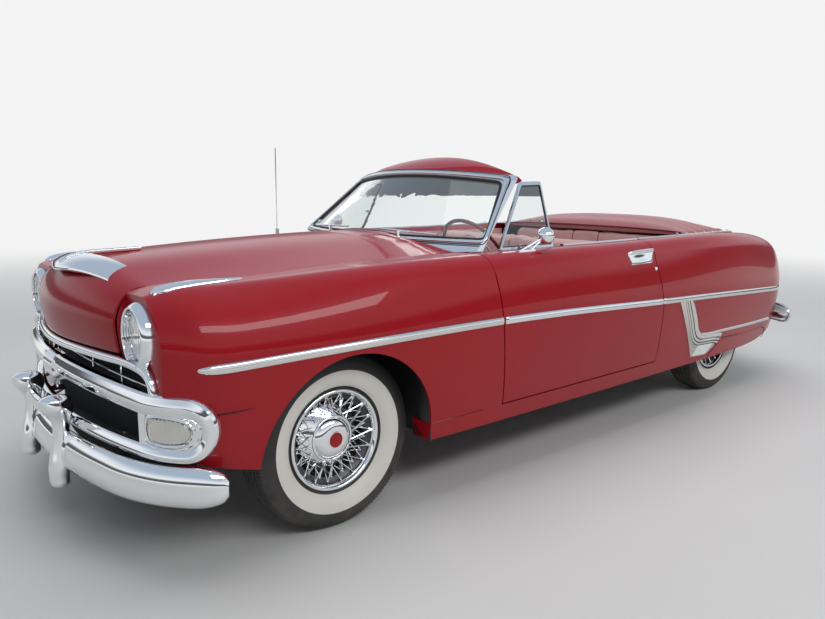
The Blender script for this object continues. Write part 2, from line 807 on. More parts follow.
def side_field(points: np.ndarray) -> tuple:
    """Signed distance to the body side and its direction in the upright cut.

    The cut at each x is the chain of tangent arcs low point, widest point, crown and seam, with
    its table row interpolated along x.

    Args:
        points: (n, 3) positions.

    Returns:
        The distance and the y and z parts of the outward direction, for the left side.
    """
    x, y, z = points[:, 0], np.abs(points[:, 1]), points[:, 2]
    row = spline(BODY_CUTS[:, 0], BODY_CUTS[:, 1:], x).T
    low_y, low_z, wide_y, wide_z, crest_y, crest_z, crown_r, seam_y, seam_z = row
    run, drop = wide_y - low_y, wide_z - low_z
    low_r = (run**2 + drop**2) / (2 * run)
    across, rise = wide_y - crest_y, crest_z - wide_z - crown_r
    side_r = (across**2 + rise**2 - crown_r**2) / (2 * (across - crown_r))
    turn = np.arcsin(rise / (side_r - crown_r))
    reach, fall = crest_y - seam_y, crest_z - seam_z
    top_r = (reach**2 + fall**2) / (2 * fall)
    level, quarter = np.zeros_like(x), np.full_like(x, np.pi / 2)
    arcs = [
        (wide_y - low_r, wide_z, low_r, -np.arcsin(drop / low_r), level),
        (wide_y - side_r, wide_z, side_r, level, turn),
        (crest_y, crest_z - crown_r, crown_r, turn, quarter),
        (crest_y, crest_z - top_r, top_r, quarter, quarter + np.arcsin(reach / top_r)),
    ]
    return nearest_arc(y, z, arcs)


def crown_field(points: np.ndarray, cuts: np.ndarray) -> tuple:
    """Signed distance to the hood or deck and its direction in the lengthwise cut.

    Args:
        points: (n, 3) positions.
        cuts: table of the surface.

    Returns:
        The distance and the x and z parts of the outward direction.
    """
    x, y, z = points[:, 0], np.abs(points[:, 1]), points[:, 2]
    both = np.vstack([cuts[:0:-1] * ([-1.0] + [1.0] * 7), cuts])
    rear_x, rear_z, nose_x, nose_z, nose_r, lip_x, lip_z = spline(both[:, 0], both[:, 1:], y).T
    way = np.sign(nose_x - rear_x)
    length, height = way * (nose_x - rear_x), rear_z - nose_z
    top_r = (height**2 + (length - nose_r) ** 2 - nose_r**2) / (2 * (height - nose_r))
    turn = np.arcsin((length - nose_r) / (top_r - nose_r))
    run, drop = way * (nose_x - lip_x), nose_z - lip_z
    lip_r = (run**2 + drop**2) / (2 * run)
    level, quarter = np.zeros_like(x), np.full_like(x, np.pi / 2)
    arcs = [
        (level, rear_z - top_r, top_r, quarter, quarter - turn),
        (length - nose_r, nose_z, nose_r, quarter - turn, level),
        (length - lip_r, nose_z, lip_r, level, -np.arcsin(drop / lip_r)),
    ]
    far, out_p, out_q = nearest_arc(way * (x - rear_x), z, arcs)
    return far, out_p * way, out_q


def true_normals(points: np.ndarray, field: str) -> tuple:
    """Exact outward direction of a painted surface at points on or near it.

    The direction in the cut comes from its arcs, and the third part is the change of the
    distance from one cut to the next, found over 4 mm.

    Args:
        points: (n, 3) positions.
        field: "side", "hood" or "deck".

    Returns:
        Distance to the surface and the unit normals.
    """
    step = 2e-3
    if field == "side":
        far, out_y, out_z = side_field(points)
        ahead, behind = (side_field(points + [move, 0, 0])[0] for move in (step, -step))
        normal = np.stack([(ahead - behind) / (2 * step), out_y * np.sign(points[:, 1]), out_z], -1)
    else:
        cuts = HOOD_CUTS if field == "hood" else DECK_CUTS
        far, out_x, out_z = crown_field(points, cuts)
        ahead, behind = (crown_field(points + [0, move, 0], cuts)[0] for move in (step, -step))
        normal = np.stack([out_x, (ahead - behind) / (2 * step), out_z], -1)
    return far, unit(normal)


def settled(spots: np.ndarray, field: str, axis: int, rounds: int) -> tuple:
    """Points moved along one axis onto a painted surface by Newton steps.

    Args:
        spots: (n, 3) start points, moved in place.
        field: surface, as for true_normals.
        axis: number of the axis.
        rounds: number of steps.

    Returns:
        The points and the surface's normals there.
    """
    steepest = 0.3
    for _ in range(rounds):
        far, normal = true_normals(spots, field)
        spots[:, axis] -= far / np.maximum(normal[:, axis], steepest)
    return spots, true_normals(spots, field)[1]


def on_side(x: ArrayLike, z: ArrayLike, lift: ArrayLike) -> np.ndarray:
    """Places of a side view laid on the left body side and lifted along its outward direction.

    Newton steps move y until the signed distance to the surface is zero.

    Args:
        x: places along the car.
        z: heights.
        lift: distances out of the surface.

    Returns:
        Points in the shape of the arguments.
    """
    x, z, lift = arrays(x, z, lift)
    spots = np.stack([x.ravel(), np.full(x.size, 0.9), z.ravel()], -1)
    for _ in range(9):
        far, out_y, _ = side_field(spots)
        spots[:, 1] -= far / np.maximum(out_y, 0.25)
    lifted = spots + true_normals(spots, "side")[1] * lift.ravel()[:, None]
    return lifted.reshape(x.shape + (3,))


def on_top(x: ArrayLike, y: ArrayLike, lift: ArrayLike, field: str) -> np.ndarray:
    """Places of a plan view laid on the hood, the deck or the fender top, and lifted likewise.

    Args:
        x: places along the car.
        y: places across it.
        lift: distances out of the surface.
        field: surface, as for true_normals.

    Returns:
        Points in the shape of the arguments.
    """
    x, y, lift = arrays(x, y, lift)
    start = np.stack([x.ravel(), y.ravel(), np.full(x.size, 1.0)], -1)
    spots, normal = settled(start, field, 2, 9)
    return (spots + normal * lift.ravel()[:, None]).reshape(x.shape + (3,))


@dataclass
class PaintedPanels:
    """Outer body panels, with the exact curvature of their surfaces in their shading."""
    reach: float = 0.014
    agree: float = 0.93
    side_nodes: tuple = ("front_fender_left", "front_fender_right", "door_left", "door_right",
                         "rear_quarter_left", "rear_quarter_right", "sills")

    def panel(self, node: str, field: str) -> None:
        """Panel from its CAD node, with the surface's own normals wherever it lies on it.

        Args:
            node: CAD node.
            field: surface that it is cut from.
        """
        mesh = frame["nodes"][node].data.copy()
        mesh.materials.clear()
        mesh.name = node + "_skin"
        dress(mesh, BODY_OF[node], [PAINT], node, sharp=32.0, doubles=2e-5)
        loops, faces = len(mesh.loops), len(mesh.polygons)
        index, sizes = np.empty(loops, np.int32), np.empty(faces, np.int32)
        mesh.loops.foreach_get("vertex_index", index)
        mesh.polygons.foreach_get("loop_total", sizes)
        points, corner, face = (np.empty((n, 3), np.float32) for n in (len(mesh.vertices), loops, faces))
        mesh.vertices.foreach_get("co", points.reshape(-1))
        mesh.corner_normals.foreach_get("vector", corner.reshape(-1))
        mesh.polygons.foreach_get("normal", face.reshape(-1))
        far, normal = true_normals(points.astype(float), field)
        wanted = normal[index]
        turned_with = (np.repeat(face, sizes, axis=0) * wanted).sum(1)
        close = (np.abs(far[index]) < self.reach) & (turned_with > self.agree)
        corner[close] = wanted[close]
        mesh.normals_split_custom_set(corner.tolist())

    def build(self) -> None:
        """All painted panels of the body, doors, hood and decklid."""
        for node in self.side_nodes:
            self.panel(node, "side")
        for node, field in (("hood", "hood"), ("cowl_panel", "hood"), ("rear_deck", "deck"),
                            ("decklid", "deck")):
            self.panel(node, field)


# Wheels

@dataclass
class WireWheel:
    """Whitewall tyre on a chrome wire wheel, built about the wheel's centre on the left side."""
    end: str
    axle_x: float
    half_track: float
    steps: int = 432
    zigzag_steps: int = 6
    zigzag: float = 0.0032
    block_steps: int = 3
    block_depth: float = 0.0045
    groove_y: tuple = (0.042, 0.014, -0.014, -0.042)
    groove: tuple = ((0.0032, 0.0), (0.0026, 0.0075), (-0.0026, 0.0075), (-0.0032, 0.0))
    crown_r: float = 0.361
    white_from: float = 0.2175
    white_to: float = 0.289
    bead: tuple = ((0.194, 0.0565), (0.2085, 0.0572))
    inner_wall: tuple = ((0.194, 0.045), (0.233, 0.066), (0.311, 0.078), (0.335, 0.05))
    spoke_pairs: int = 18
    spoke_r: float = 0.0024
    spoke_shift: float = 0.0028
    spoke_rows: tuple = ((0.187, 0.047, 0.097, 0.022, 18.0), (0.169, 0.024, 0.134, 0.004, 9.0))
    rim_inside_r: float = 0.1875
    rim_back: tuple = ((0.163, -0.026), (0.185, -0.042), (0.186, -0.066), (0.2085, -0.0665),
                       (0.2085, -0.0575), (0.1925, -0.057), (0.1925, -0.034), (0.171, -0.024), (0.171, 0.024),
                       (0.1925, 0.034), (0.1925, 0.0565), (0.2085, 0.0575))
    drum: tuple = ((0.0, -0.03), (0.16, -0.03), (0.17, -0.022), (0.166, -0.014), (0.09, -0.02), (0.0, -0.02))

    def tyre(self) -> tuple:
        """Grid of the tyre, and the slot of each of its columns.

        Each sidewall is a circle through bead, widest point and shoulder, with a fine bead at
        both ends of the white band. The tread is four grooves in a shallow crown. Its columns
        move sideways by a triangle wave round the tyre, and every third step of the shoulder is
        cut back to make its blocks.

        Returns:
            The grid and the slots.
        """
        side = arc3((0.213, 0.0575), (0.291, 0.097), (0.335, 0.085), 22)
        ridges = ((self.white_to, 0.0025, 0.0016), (self.white_from + 0.004, 0.002, 0.0016),
                  (0.309, 0.002, 0.00128))
        for middle, width, high in ridges:
            side[:, 1] -= high * np.exp(-((side[:, 0] - middle) / width) ** 2)
        shoulder = arc3((0.338, 0.0835), (0.353, 0.075), (0.3585, 0.061), 6)
        tread = np.array([(y + move, depth) for y in self.groove_y for move, depth in self.groove])
        crown = self.crown_r - 0.0025 * (tread[:, 0] / 0.06) ** 2 - tread[:, 1]
        outer = np.vstack([self.bead, side, shoulder])
        inner = np.array(self.inner_wall)
        outline = np.vstack([outer, np.stack([crown, tread[:, 0]], -1), outer[::-1] * [1, -1],
                             inner * [1, -1], inner[::-1]])
        radius, along = outline.T
        slot = ((radius > self.white_from) & (radius < self.white_to) & (along > 0.05)).astype(int)
        slot[-2 * len(inner):] = 0
        grid = turned(outline, self.steps)
        step = np.arange(self.steps)
        first, last = len(outer), len(outer) + len(tread)
        half = self.zigzag_steps // 2
        wave = np.abs((step % self.zigzag_steps) - half) / (half / 2) - 1.0
        grid[:, first:last, 1] += (self.zigzag * wave)[:, None]
        depth = np.where(step % self.block_steps == 0, self.block_depth, 0.0)[:, None]
        cut = np.zeros(len(outline))
        cut[first - 5:first] = cut[last:last + 5] = 1.0
        grid[..., [0, 2]] *= (1.0 - depth * cut / outline[:, 0])[..., None]
        return grid, slot

    def rim_profile(self) -> np.ndarray:
        """Outline of the rim: a rounded lip, a bright ring, the well and a hidden back.

        Returns:
            Rows of (radius, along).
        """
        lip = arc3((0.2085, 0.0585), (0.2055, 0.067), (0.1965, 0.066), 9)
        ring_face = arc3((0.1965, 0.066), (0.1905, 0.0575), (0.186, 0.042), 8)
        well = arc3((0.186, 0.042), (0.175, 0.032), (0.165, 0.026), 6)
        return np.vstack([lip, ring_face[1:], well[1:], self.rim_back])

    def spokes(self, shape: Shape) -> None:
        """Adds two crossed rows of wires with nipples at the rim.

        A wire is a straight tube from the rim to the hub shell, thicker over its last 14 mm. A
        row holds the outer radius and place, the inner radius and place, and the lag in degrees.

        Args:
            shape: shape that takes them.
        """
        for row, (outer_r, outer_y, inner_r, inner_y, lag) in enumerate(self.spoke_rows):
            for way in SIGNS:
                b = math.radians(way * lag)
                shift = self.spoke_shift * way
                start = np.array([outer_r, outer_y + shift, 0.0])
                end = np.array([inner_r * math.cos(b), inner_y + shift, inner_r * math.sin(b)])
                length = np.linalg.norm(end - start)
                t = np.array([0.0, 0.013, 0.0145, length]) / length
                path = start + (end - start) * t[:, None]
                wire = swept(path, ring(self.spoke_r, 7), SIDEWAYS, scale=[1.9, 1.7, 1.0, 1.0])
                for number in range(self.spoke_pairs):
                    turn = Matrix.Rotation(2 * math.pi * (number + row / 2) / self.spoke_pairs, 3, "Y")
                    shape.grid(wire @ np.array(turn).T, wrap_v=True)

    def hub_profile(self) -> np.ndarray:
        """Outline of the conical hub shell, its beaded edge and the domed cap.

        Returns:
            Rows of (radius, along).
        """
        shell = arc3((0.142, -0.002), (0.117, 0.016), (0.0945, 0.03), 10)
        bead = arc3((0.0945, 0.03), (0.0935, 0.037), (0.0885, 0.0375), 6)
        dome = arc3((0.0872, 0.036), (0.066, 0.0535), (0.037, 0.0588), 12)
        return np.vstack([[(0.03, -0.012), (0.07, -0.014), (0.14, -0.01)], shell, bead[1:], dome,
                          [(0.0345, 0.0592)]])

    def build(self) -> None:
        """Tyres, rims, spokes, hubs and medallions on both sides."""
        grid, slot = self.tyre()
        profile = self.rim_profile()
        medal = arc3((0.031, 0.0612), (0.016, 0.0628), (0.0, 0.0632), 6)
        for side in Side:
            name = f"{self.end}_{side.word}"
            tyre = Shape(f"tyre_{name}_rubber").grid(grid, wrap_u=True, wrap_v=True, slot=slot)
            rim = Shape(f"wheel_{name}_wires")
            inside = np.where(profile[:, 0] < self.rim_inside_r, 3, 0)
            rim.grid(turned(profile, 120), wrap_u=True, wrap_v=True, slot=inside)
            self.spokes(rim)
            rim.grid(turned(self.hub_profile(), 96), wrap_u=True)
            rim.grid(turned([(0.0345, 0.0592), (0.034, 0.0605), (0.031, 0.0612)], 96), wrap_u=True)
            rim.grid(turned(self.drum, 72), wrap_u=True, slot=1)
            rim.grid(turned(medal, 96), wrap_u=True, slot=2)
            for shape in (tyre, rim):
                shape.flip(side)
                shape.points = [p + [self.axle_x, side.value * self.half_track, AXLE_Z] for p in shape.points]
            tyre.make(f"wheel_{name}", [TREAD, WHITEWALL], f"tyre_{name}", sharp=28.0)
            rim.make(f"wheel_{name}", [CHROME, DARK, PAINT, RIM_INSIDE], f"wheel_{name}", sharp=32.0)


# Chrome front and rear

@dataclass
class Bumper:
    """Wrap-round bumper with two guards and the loop bar between them.

    A row of guard_rows is height above the blade's middle, back and front out from the face, and
    half width.
    """
    name: str
    node: str
    plan: tuple
    height: float
    face_x: float
    way: float
    guard_y: float = 0.219
    iron_y: float = 0.4
    front: tuple = ((-0.004, -0.064), (0.008, -0.066), (0.022, -0.056), (0.032, -0.036), (0.0365, -0.010),
                    (0.034, 0.018), (0.028, 0.044), (0.016, 0.066), (0.004, 0.078), (-0.012, 0.080))
    guard_rows: tuple = (
        (-0.139, -0.034, -0.016, 0.008), (-0.132, -0.046, -0.002, 0.021), (-0.105, -0.056, 0.014, 0.033),
        (-0.060, -0.062, 0.015, 0.036), (-0.005, -0.064, 0.006, 0.032), (0.055, -0.066, -0.005, 0.027),
        (0.105, -0.070, -0.010, 0.027), (0.140, -0.080, 0.000, 0.034), (0.165, -0.088, 0.018, 0.044),
        (0.188, -0.090, 0.031, 0.049), (0.208, -0.084, 0.031, 0.046), (0.222, -0.070, 0.020, 0.034),
        (0.2285, -0.050, -0.004, 0.014))

    def blade(self) -> np.ndarray:
        """Grid of the pressed blade: a crowned section with a rolled lip along its top and bottom.

        Returns:
            Its grid, wrapped in the second index.
        """
        plan = wrap_plan(*self.plan, 60)
        front = resample(self.front, 30)
        inner = (front[::-1] - [0.006, 0.0]) * [1.0, 0.96]
        section = np.vstack([front, inner]) * [-1.0, 1.0]
        taper = np.ones(len(plan))
        taper[:9] = 0.35 + 0.65 * np.sqrt(1 - (1 - np.linspace(0, 1, 9)) ** 2)
        taper[-9:] = taper[:9][::-1]
        path = xyz(plan[:, 0], plan[:, 1], self.height)
        return swept(path, section * [self.way, 1.0], scale=taper)

    def guard(self, y: float) -> np.ndarray:
        """Upright horn: ellipses whose middle, depth and width follow smooth curves of height.

        Args:
            y: place of its middle.

        Returns:
            Its grid, wrapped in the second index.
        """
        rows = np.array(self.guard_rows)
        t = rows[0, 0] + (rows[-1, 0] - rows[0, 0]) * (0.5 - 0.5 * np.cos(np.linspace(0, np.pi, 48)))
        back, front, wide = spline(rows[:, 0], rows[:, 1:], t).T[..., None]
        front, wide = np.minimum(front, 0.0335), np.maximum(wide, 0.006)
        a = angles(32)
        x = self.face_x + self.way * ((front + back) / 2 + (front - back) / 2 * np.cos(a))
        return with_poles(xyz(x, y + wide * squared(np.sin(a), 0.8), self.height + t[:, None]))

    def build(self) -> None:
        """The whole bumper."""
        shape = Shape(self.name).grid(self.blade(), wrap_v=True)
        iron = sorted(self.face_x - self.way * reach for reach in (0.34, 0.06))
        for sign in SIGNS:
            shape.grid(self.guard(sign * self.guard_y), wrap_v=True)
            y = sign * self.iron_y
            shape.block((iron[0], y - 0.025, self.height - 0.012), (iron[1], y + 0.025, self.height))
        bow = np.linspace(-1, 1, 25)
        x = self.face_x - self.way * (0.028 - 0.012 * (1 - bow ** 2))
        shape.tube(xyz(x, bow * self.guard_y, self.height + 0.15), oval(0.026, 0.017, 0.017, 24))
        shape.make("body", [CHROME], self.node)


@dataclass
class Grille:
    """Chrome grille: arch, thick upper bar that wraps round the parking lamps, lower bar, wires."""
    plan: tuple = (2.518, 2.432, 0.70, 2.262, 0.915)
    loop_reach: float = 0.965
    loop_z: float = 0.548
    loop_half: float = 0.083
    loop_section: tuple = (
        (-0.018, -0.030), (-0.014, -0.040), (0.006, -0.040), (0.016, -0.034), (0.0262, -0.011),
        (0.0275, -0.006), (0.0272, -0.001), (0.0135, 0.036), (0.008, 0.041), (0.000, 0.043),
        (-0.014, 0.042), (-0.018, 0.034))
    arch_line: tuple = (
        (2.408, 0.755, 0.625), (2.409, 0.754, 0.668), (2.412, 0.736, 0.714), (2.418, 0.660, 0.738),
        (2.431, 0.560, 0.744), (2.455, 0.460, 0.746), (2.498, 0.240, 0.7475), (2.519, 0.0, 0.748))
    lamp_y: tuple = (0.738, 0.868)
    lamp_z: tuple = (0.506, 0.592)
    boss_half: float = 0.062
    boss_back: float = 2.50

    def loop(self) -> np.ndarray:
        """One closed bar per side: out along the top, round the lamp's outer end and back below.

        The plan position follows the wrapped path, while the height follows a half circle at the
        outer end.

        Returns:
            Its grid, wrapped in both indices.
        """
        plan = wrap_plan(*self.plan, 60)
        run = run_along(plan)
        run -= run[-1] / 2
        reach, mid_z, half_z = self.loop_reach, self.loop_z, self.loop_half
        bend = np.linspace(np.pi / 2, -np.pi / 2, 22)
        top_s = np.linspace(-(reach - half_z), reach - half_z, 90)
        left_s = (reach - half_z + half_z * np.cos(bend))[1:-1]
        left_z = (mid_z + half_z * np.sin(bend))[1:-1]
        arch = 0.019 * np.clip(1 - (top_s / 0.75) ** 2, 0, 1)
        s = np.concatenate([top_s, left_s, top_s[::-1], -left_s[::-1]])
        z = np.concatenate([mid_z + half_z + arch, left_z, mid_z - half_z - 0.3 * arch, left_z[::-1]])
        s = np.clip(s, -run[-1], run[-1])
        path = np.stack([np.interp(s, run, plan[:, 0]), np.interp(s, run, plan[:, 1]), z], -1)
        tangent = unit(np.roll(path, -1, axis=0) - np.roll(path, 1, axis=0))
        slope = np.interp(s, run, np.gradient(plan[:, 0], run))
        out = unit(xyz(1.0, -slope, 0.0))
        rise = np.cross(tangent, out)
        share = np.clip((z - mid_z + half_z) / (2 * half_z), 0, 1)[:, None]
        corners = np.array(self.loop_section)
        section = np.concatenate([np.linspace(a, b, 3, endpoint=False)
                                  for a, b in zip(corners, np.roll(corners, -1, axis=0))])
        return (path[:, None] + out[:, None] * section[:, :1]
                + rise[:, None] * (section[:, 1:] * (0.62 + 0.36 * share)[:, None]))

    def arch(self) -> np.ndarray:
        """Grid of the bar over the opening, down both sides to the upper bar.

        Returns:
            Its grid, wrapped in the second index.
        """
        half = np.array(self.arch_line)
        path = resample(np.vstack([half * [1, -1, 1], half[-2::-1]]), 120)
        ahead = np.array([1.0, 0.0, 0.0])
        across = unit(np.cross(np.gradient(path, axis=0), ahead))
        section = oval(0.0155, 0.018, 0.018, 20, 0.8)
        return with_poles(path[:, None] + ahead * section[:, :1] + across[:, None] * section[:, 1:])

    def boss(self, shape: Shape) -> None:
        """Adds the ribbed block in the middle of the upper bar, half round with fine ribs.

        Args:
            shape: shape that takes it.
        """
        y = np.linspace(-self.boss_half, self.boss_half, 73)[:, None]
        a = np.linspace(-0.62 * np.pi, 0.62 * np.pi, 25) * 0.8
        rib = 0.0022 * np.cos(y / self.boss_half * np.pi * 5)
        x = 2.512 + (0.046 + rib) * np.abs(np.cos(a)) ** 0.6
        grid = xyz(x, y, 0.642 + 0.052 * np.sin(a) / np.sin(a[-1]))
        ends = grid[[0, -1]].copy()
        ends[..., 0] = self.boss_back
        shape.grid(np.concatenate([ends[:1], grid, ends[1:]])).grid(ends)

    def pod_face(self, y: ArrayLike, z: ArrayLike, out: ArrayLike) -> np.ndarray:
        """Points in front of the plan path.

        Args:
            y: distances across.
            z: heights.
            out: distances out of the path.

        Returns:
            Points in the shape of the arguments.
        """
        y, z, out = arrays(y, z, out)
        plan = wrap_plan(*self.plan, 60)
        x = np.interp(y, plan[:, 1], plan[:, 0])
        slope = np.interp(y, plan[:, 1], np.gradient(plan[:, 0], plan[:, 1]))
        size = np.hypot(1.0, slope)
        return np.stack([x + out / size, y - out * slope / size, z], -1)

    def squircle(self, grow: float, u: ArrayLike, v: ArrayLike) -> tuple:
        """Rounded lens shape: the square (u, v) mapped so that its corners draw in.

        Args:
            grow: distance by which the lens is grown.
            u: places across, from -1 to 1.
            v: places upwards, from -1 to 1.

        Returns:
            The places across the car and the heights.
        """
        (y0, y1), (z0, z1) = self.lamp_y, self.lamp_z
        half_y, half_z = (y1 - y0) / 2 + grow, (z1 - z0) / 2 + grow
        y = (y0 + y1) / 2 + half_y * u * np.sqrt(1 - (0.22 + 0.12 * (u > 0)) * v ** 2)
        z = (z0 + z1) / 2 + half_z * v * np.sqrt(1 - (0.30 + 0.20 * (u > 0)) * u ** 2)
        return y, z

    def lamps(self) -> None:
        """Chrome pod in each end of the grille, with nested rims, reflector and ribbed lens."""
        u, v = np.linspace(-1, 1, 43)[:, None], np.linspace(-1, 1, 29)[None]
        around = angles(120)
        scale = 1 / np.maximum(np.abs(np.cos(around)), np.abs(np.sin(around)))
        pod_y, pod_z = np.linspace(0.688, 0.885, 25)[:, None], np.linspace(0.474, 0.630, 17)[None]
        y, z = self.squircle(0.0, u, v)
        dome = np.clip(1 - np.abs(u) ** 4, 0, 1) * np.clip(1 - np.abs(v) ** 4, 0, 1)
        rib = 0.0009 * np.cos(np.pi * 9 * u) * (dome > 0.05)
        for side in Side:
            pod = Shape(f"parking_pod_{side.word}")
            pod.plate(self.pod_face(pod_y, pod_z, 0.010), self.pod_face(pod_y, pod_z, -0.02))
            for grow, out, radius in ((0.0065, 0.013, 0.0055), (0.019, 0.0115, 0.004)):
                rim_y, rim_z = self.squircle(grow, np.cos(around) * scale, np.sin(around) * scale)
                pod.hoop(self.pod_face(rim_y, rim_z, out), ring(radius, 10), (1.0, 0.25, 0.0))
            pod.flip(side).make("body", [CHROME])
            lens = Shape(f"parking_lens_{side.word}")
            lens.plate(self.pod_face(y, z, 0.0125 + 0.013 * dome ** 0.6 + rib),
                       self.pod_face(y, z, 0.0122 + 0.010 * dome ** 0.6))
            lens.flip(side).make("body", [LENS], "parking_lamp_lenses", doubles=1e-6)
            mirror = Shape(f"parking_reflector_{side.word}")
            mirror.plate(self.pod_face(y, z, 0.0115), self.pod_face(y, z, 0.0105))
            mirror.flip(side).make("body", [STAINLESS])

    def wires(self, shape: Shape) -> None:
        """Adds thin upright wires in the upper opening and one bow across it.

        Args:
            shape: shape that takes them.
        """
        for y, lean in ((-0.52, 0.05), (-0.26, 0.03), (0.26, -0.03), (0.52, -0.05)):
            x = 2.45 - 0.12 * y * y
            path = np.array([(x, y, 0.60), (x + 0.01, y + lean / 2, 0.66), (x, y + lean, 0.725)])
            shape.tube(resample(path, 7), ring(0.003, 8), SIDEWAYS)
        bow = np.linspace(-0.7, 0.7, 41)
        shape.tube(xyz(2.455 - 0.12 * bow ** 2, bow, 0.69 - 0.03 * bow ** 2), ring(0.004, 8))

    def build(self) -> None:
        """Grille metalwork, dark opening and parking lamps."""
        shape = Shape("grille_metal").grid(self.loop(), wrap_u=True, wrap_v=True)
        shape.grid(self.arch(), wrap_v=True)
        self.boss(shape)
        self.wires(shape)
        for y in (-0.4, 0.4):
            shape.block((2.25, y - 0.02, 0.43), (2.47, y + 0.02, 0.444))
        shape.make("body", [CHROME], "grille")
        plan = wrap_plan(2.44, 2.35, 0.60, 2.27, 0.745, 30)
        front = xyz(plan[:, :1], plan[:, 1:], np.array([0.30, 0.44, 0.60, 0.735]))
        Shape("grille_shadow").plate(front, front - [0.004, 0.0, 0.0]).make("body", [DARK])
        self.lamps()


@dataclass
class Headlamps:
    """Deep bezels with a domed lens, a reflector bowl and a bulb shield."""
    x: float = 2.406
    y: float = 0.633
    z: float = 0.843
    lens_r: float = 0.089
    bezel_r: float = 0.1125
    stretch: float = 1.07
    flute_depth: float = 0.0007
    flute_pitch: float = 0.011
    shield: tuple = ((0.0, -0.012), (0.010, -0.014), (0.012, -0.02), (0.012, -0.045), (0.004, -0.06))

    def ring_at(self, profile: ArrayLike, steps: int) -> np.ndarray:
        """Profile of (radius, forward) turned about the lamp's axis and stretched upwards."""
        grid = turned(profile, steps)
        return grid[..., [1, 0, 2]] * [1.0, 1.0, self.stretch] + [self.x, self.y, self.z]

    def build(self) -> None:
        """Both lamps."""
        bezel = np.vstack([arc3((self.bezel_r, -0.02), (self.bezel_r - 0.002, 0.012), (0.0985, 0.028), 12),
                           arc3((0.0985, 0.028), (0.0945, 0.029), (0.0905, 0.022), 6)[1:],
                           [(0.0895, 0.006), (0.0895, -0.02)]])
        u = np.linspace(0, 1, 25)
        dome = np.stack([self.lens_r * np.sqrt(u), 0.004 + 0.018 * (1 - u)], -1)
        inner = np.stack([self.lens_r * np.sqrt(u), 0.001 + 0.0175 * (1 - u)], -1)[::-1]
        bowl = np.stack([self.lens_r * 0.98 * u, -0.066 * (1 - u ** 2) - 0.001], -1)
        glass = self.ring_at(np.vstack([dome, inner]), 72)
        flute = self.flute_depth * np.cos((glass[..., 1] - self.y) * 2 * np.pi / self.flute_pitch)
        glass[:, len(u):, 0] += flute[:, len(u):]
        for side in Side:
            metal = Shape(f"headlamp_metal_{side.word}")
            metal.grid(self.ring_at(bezel, 72), wrap_u=True, wrap_v=True)
            metal.grid(self.ring_at(bowl, 48), wrap_u=True)
            metal.grid(self.ring_at(self.shield, 24), wrap_u=True)
            metal.flip(side).make("body", [CHROME], "headlamp_bezels")
            lens = Shape(f"headlamp_lens_{side.word}").grid(glass, wrap_u=True, wrap_v=True)
            lens.flip(side).make("body", [LENS], "headlamps", doubles=1e-6)


# Trim on the body

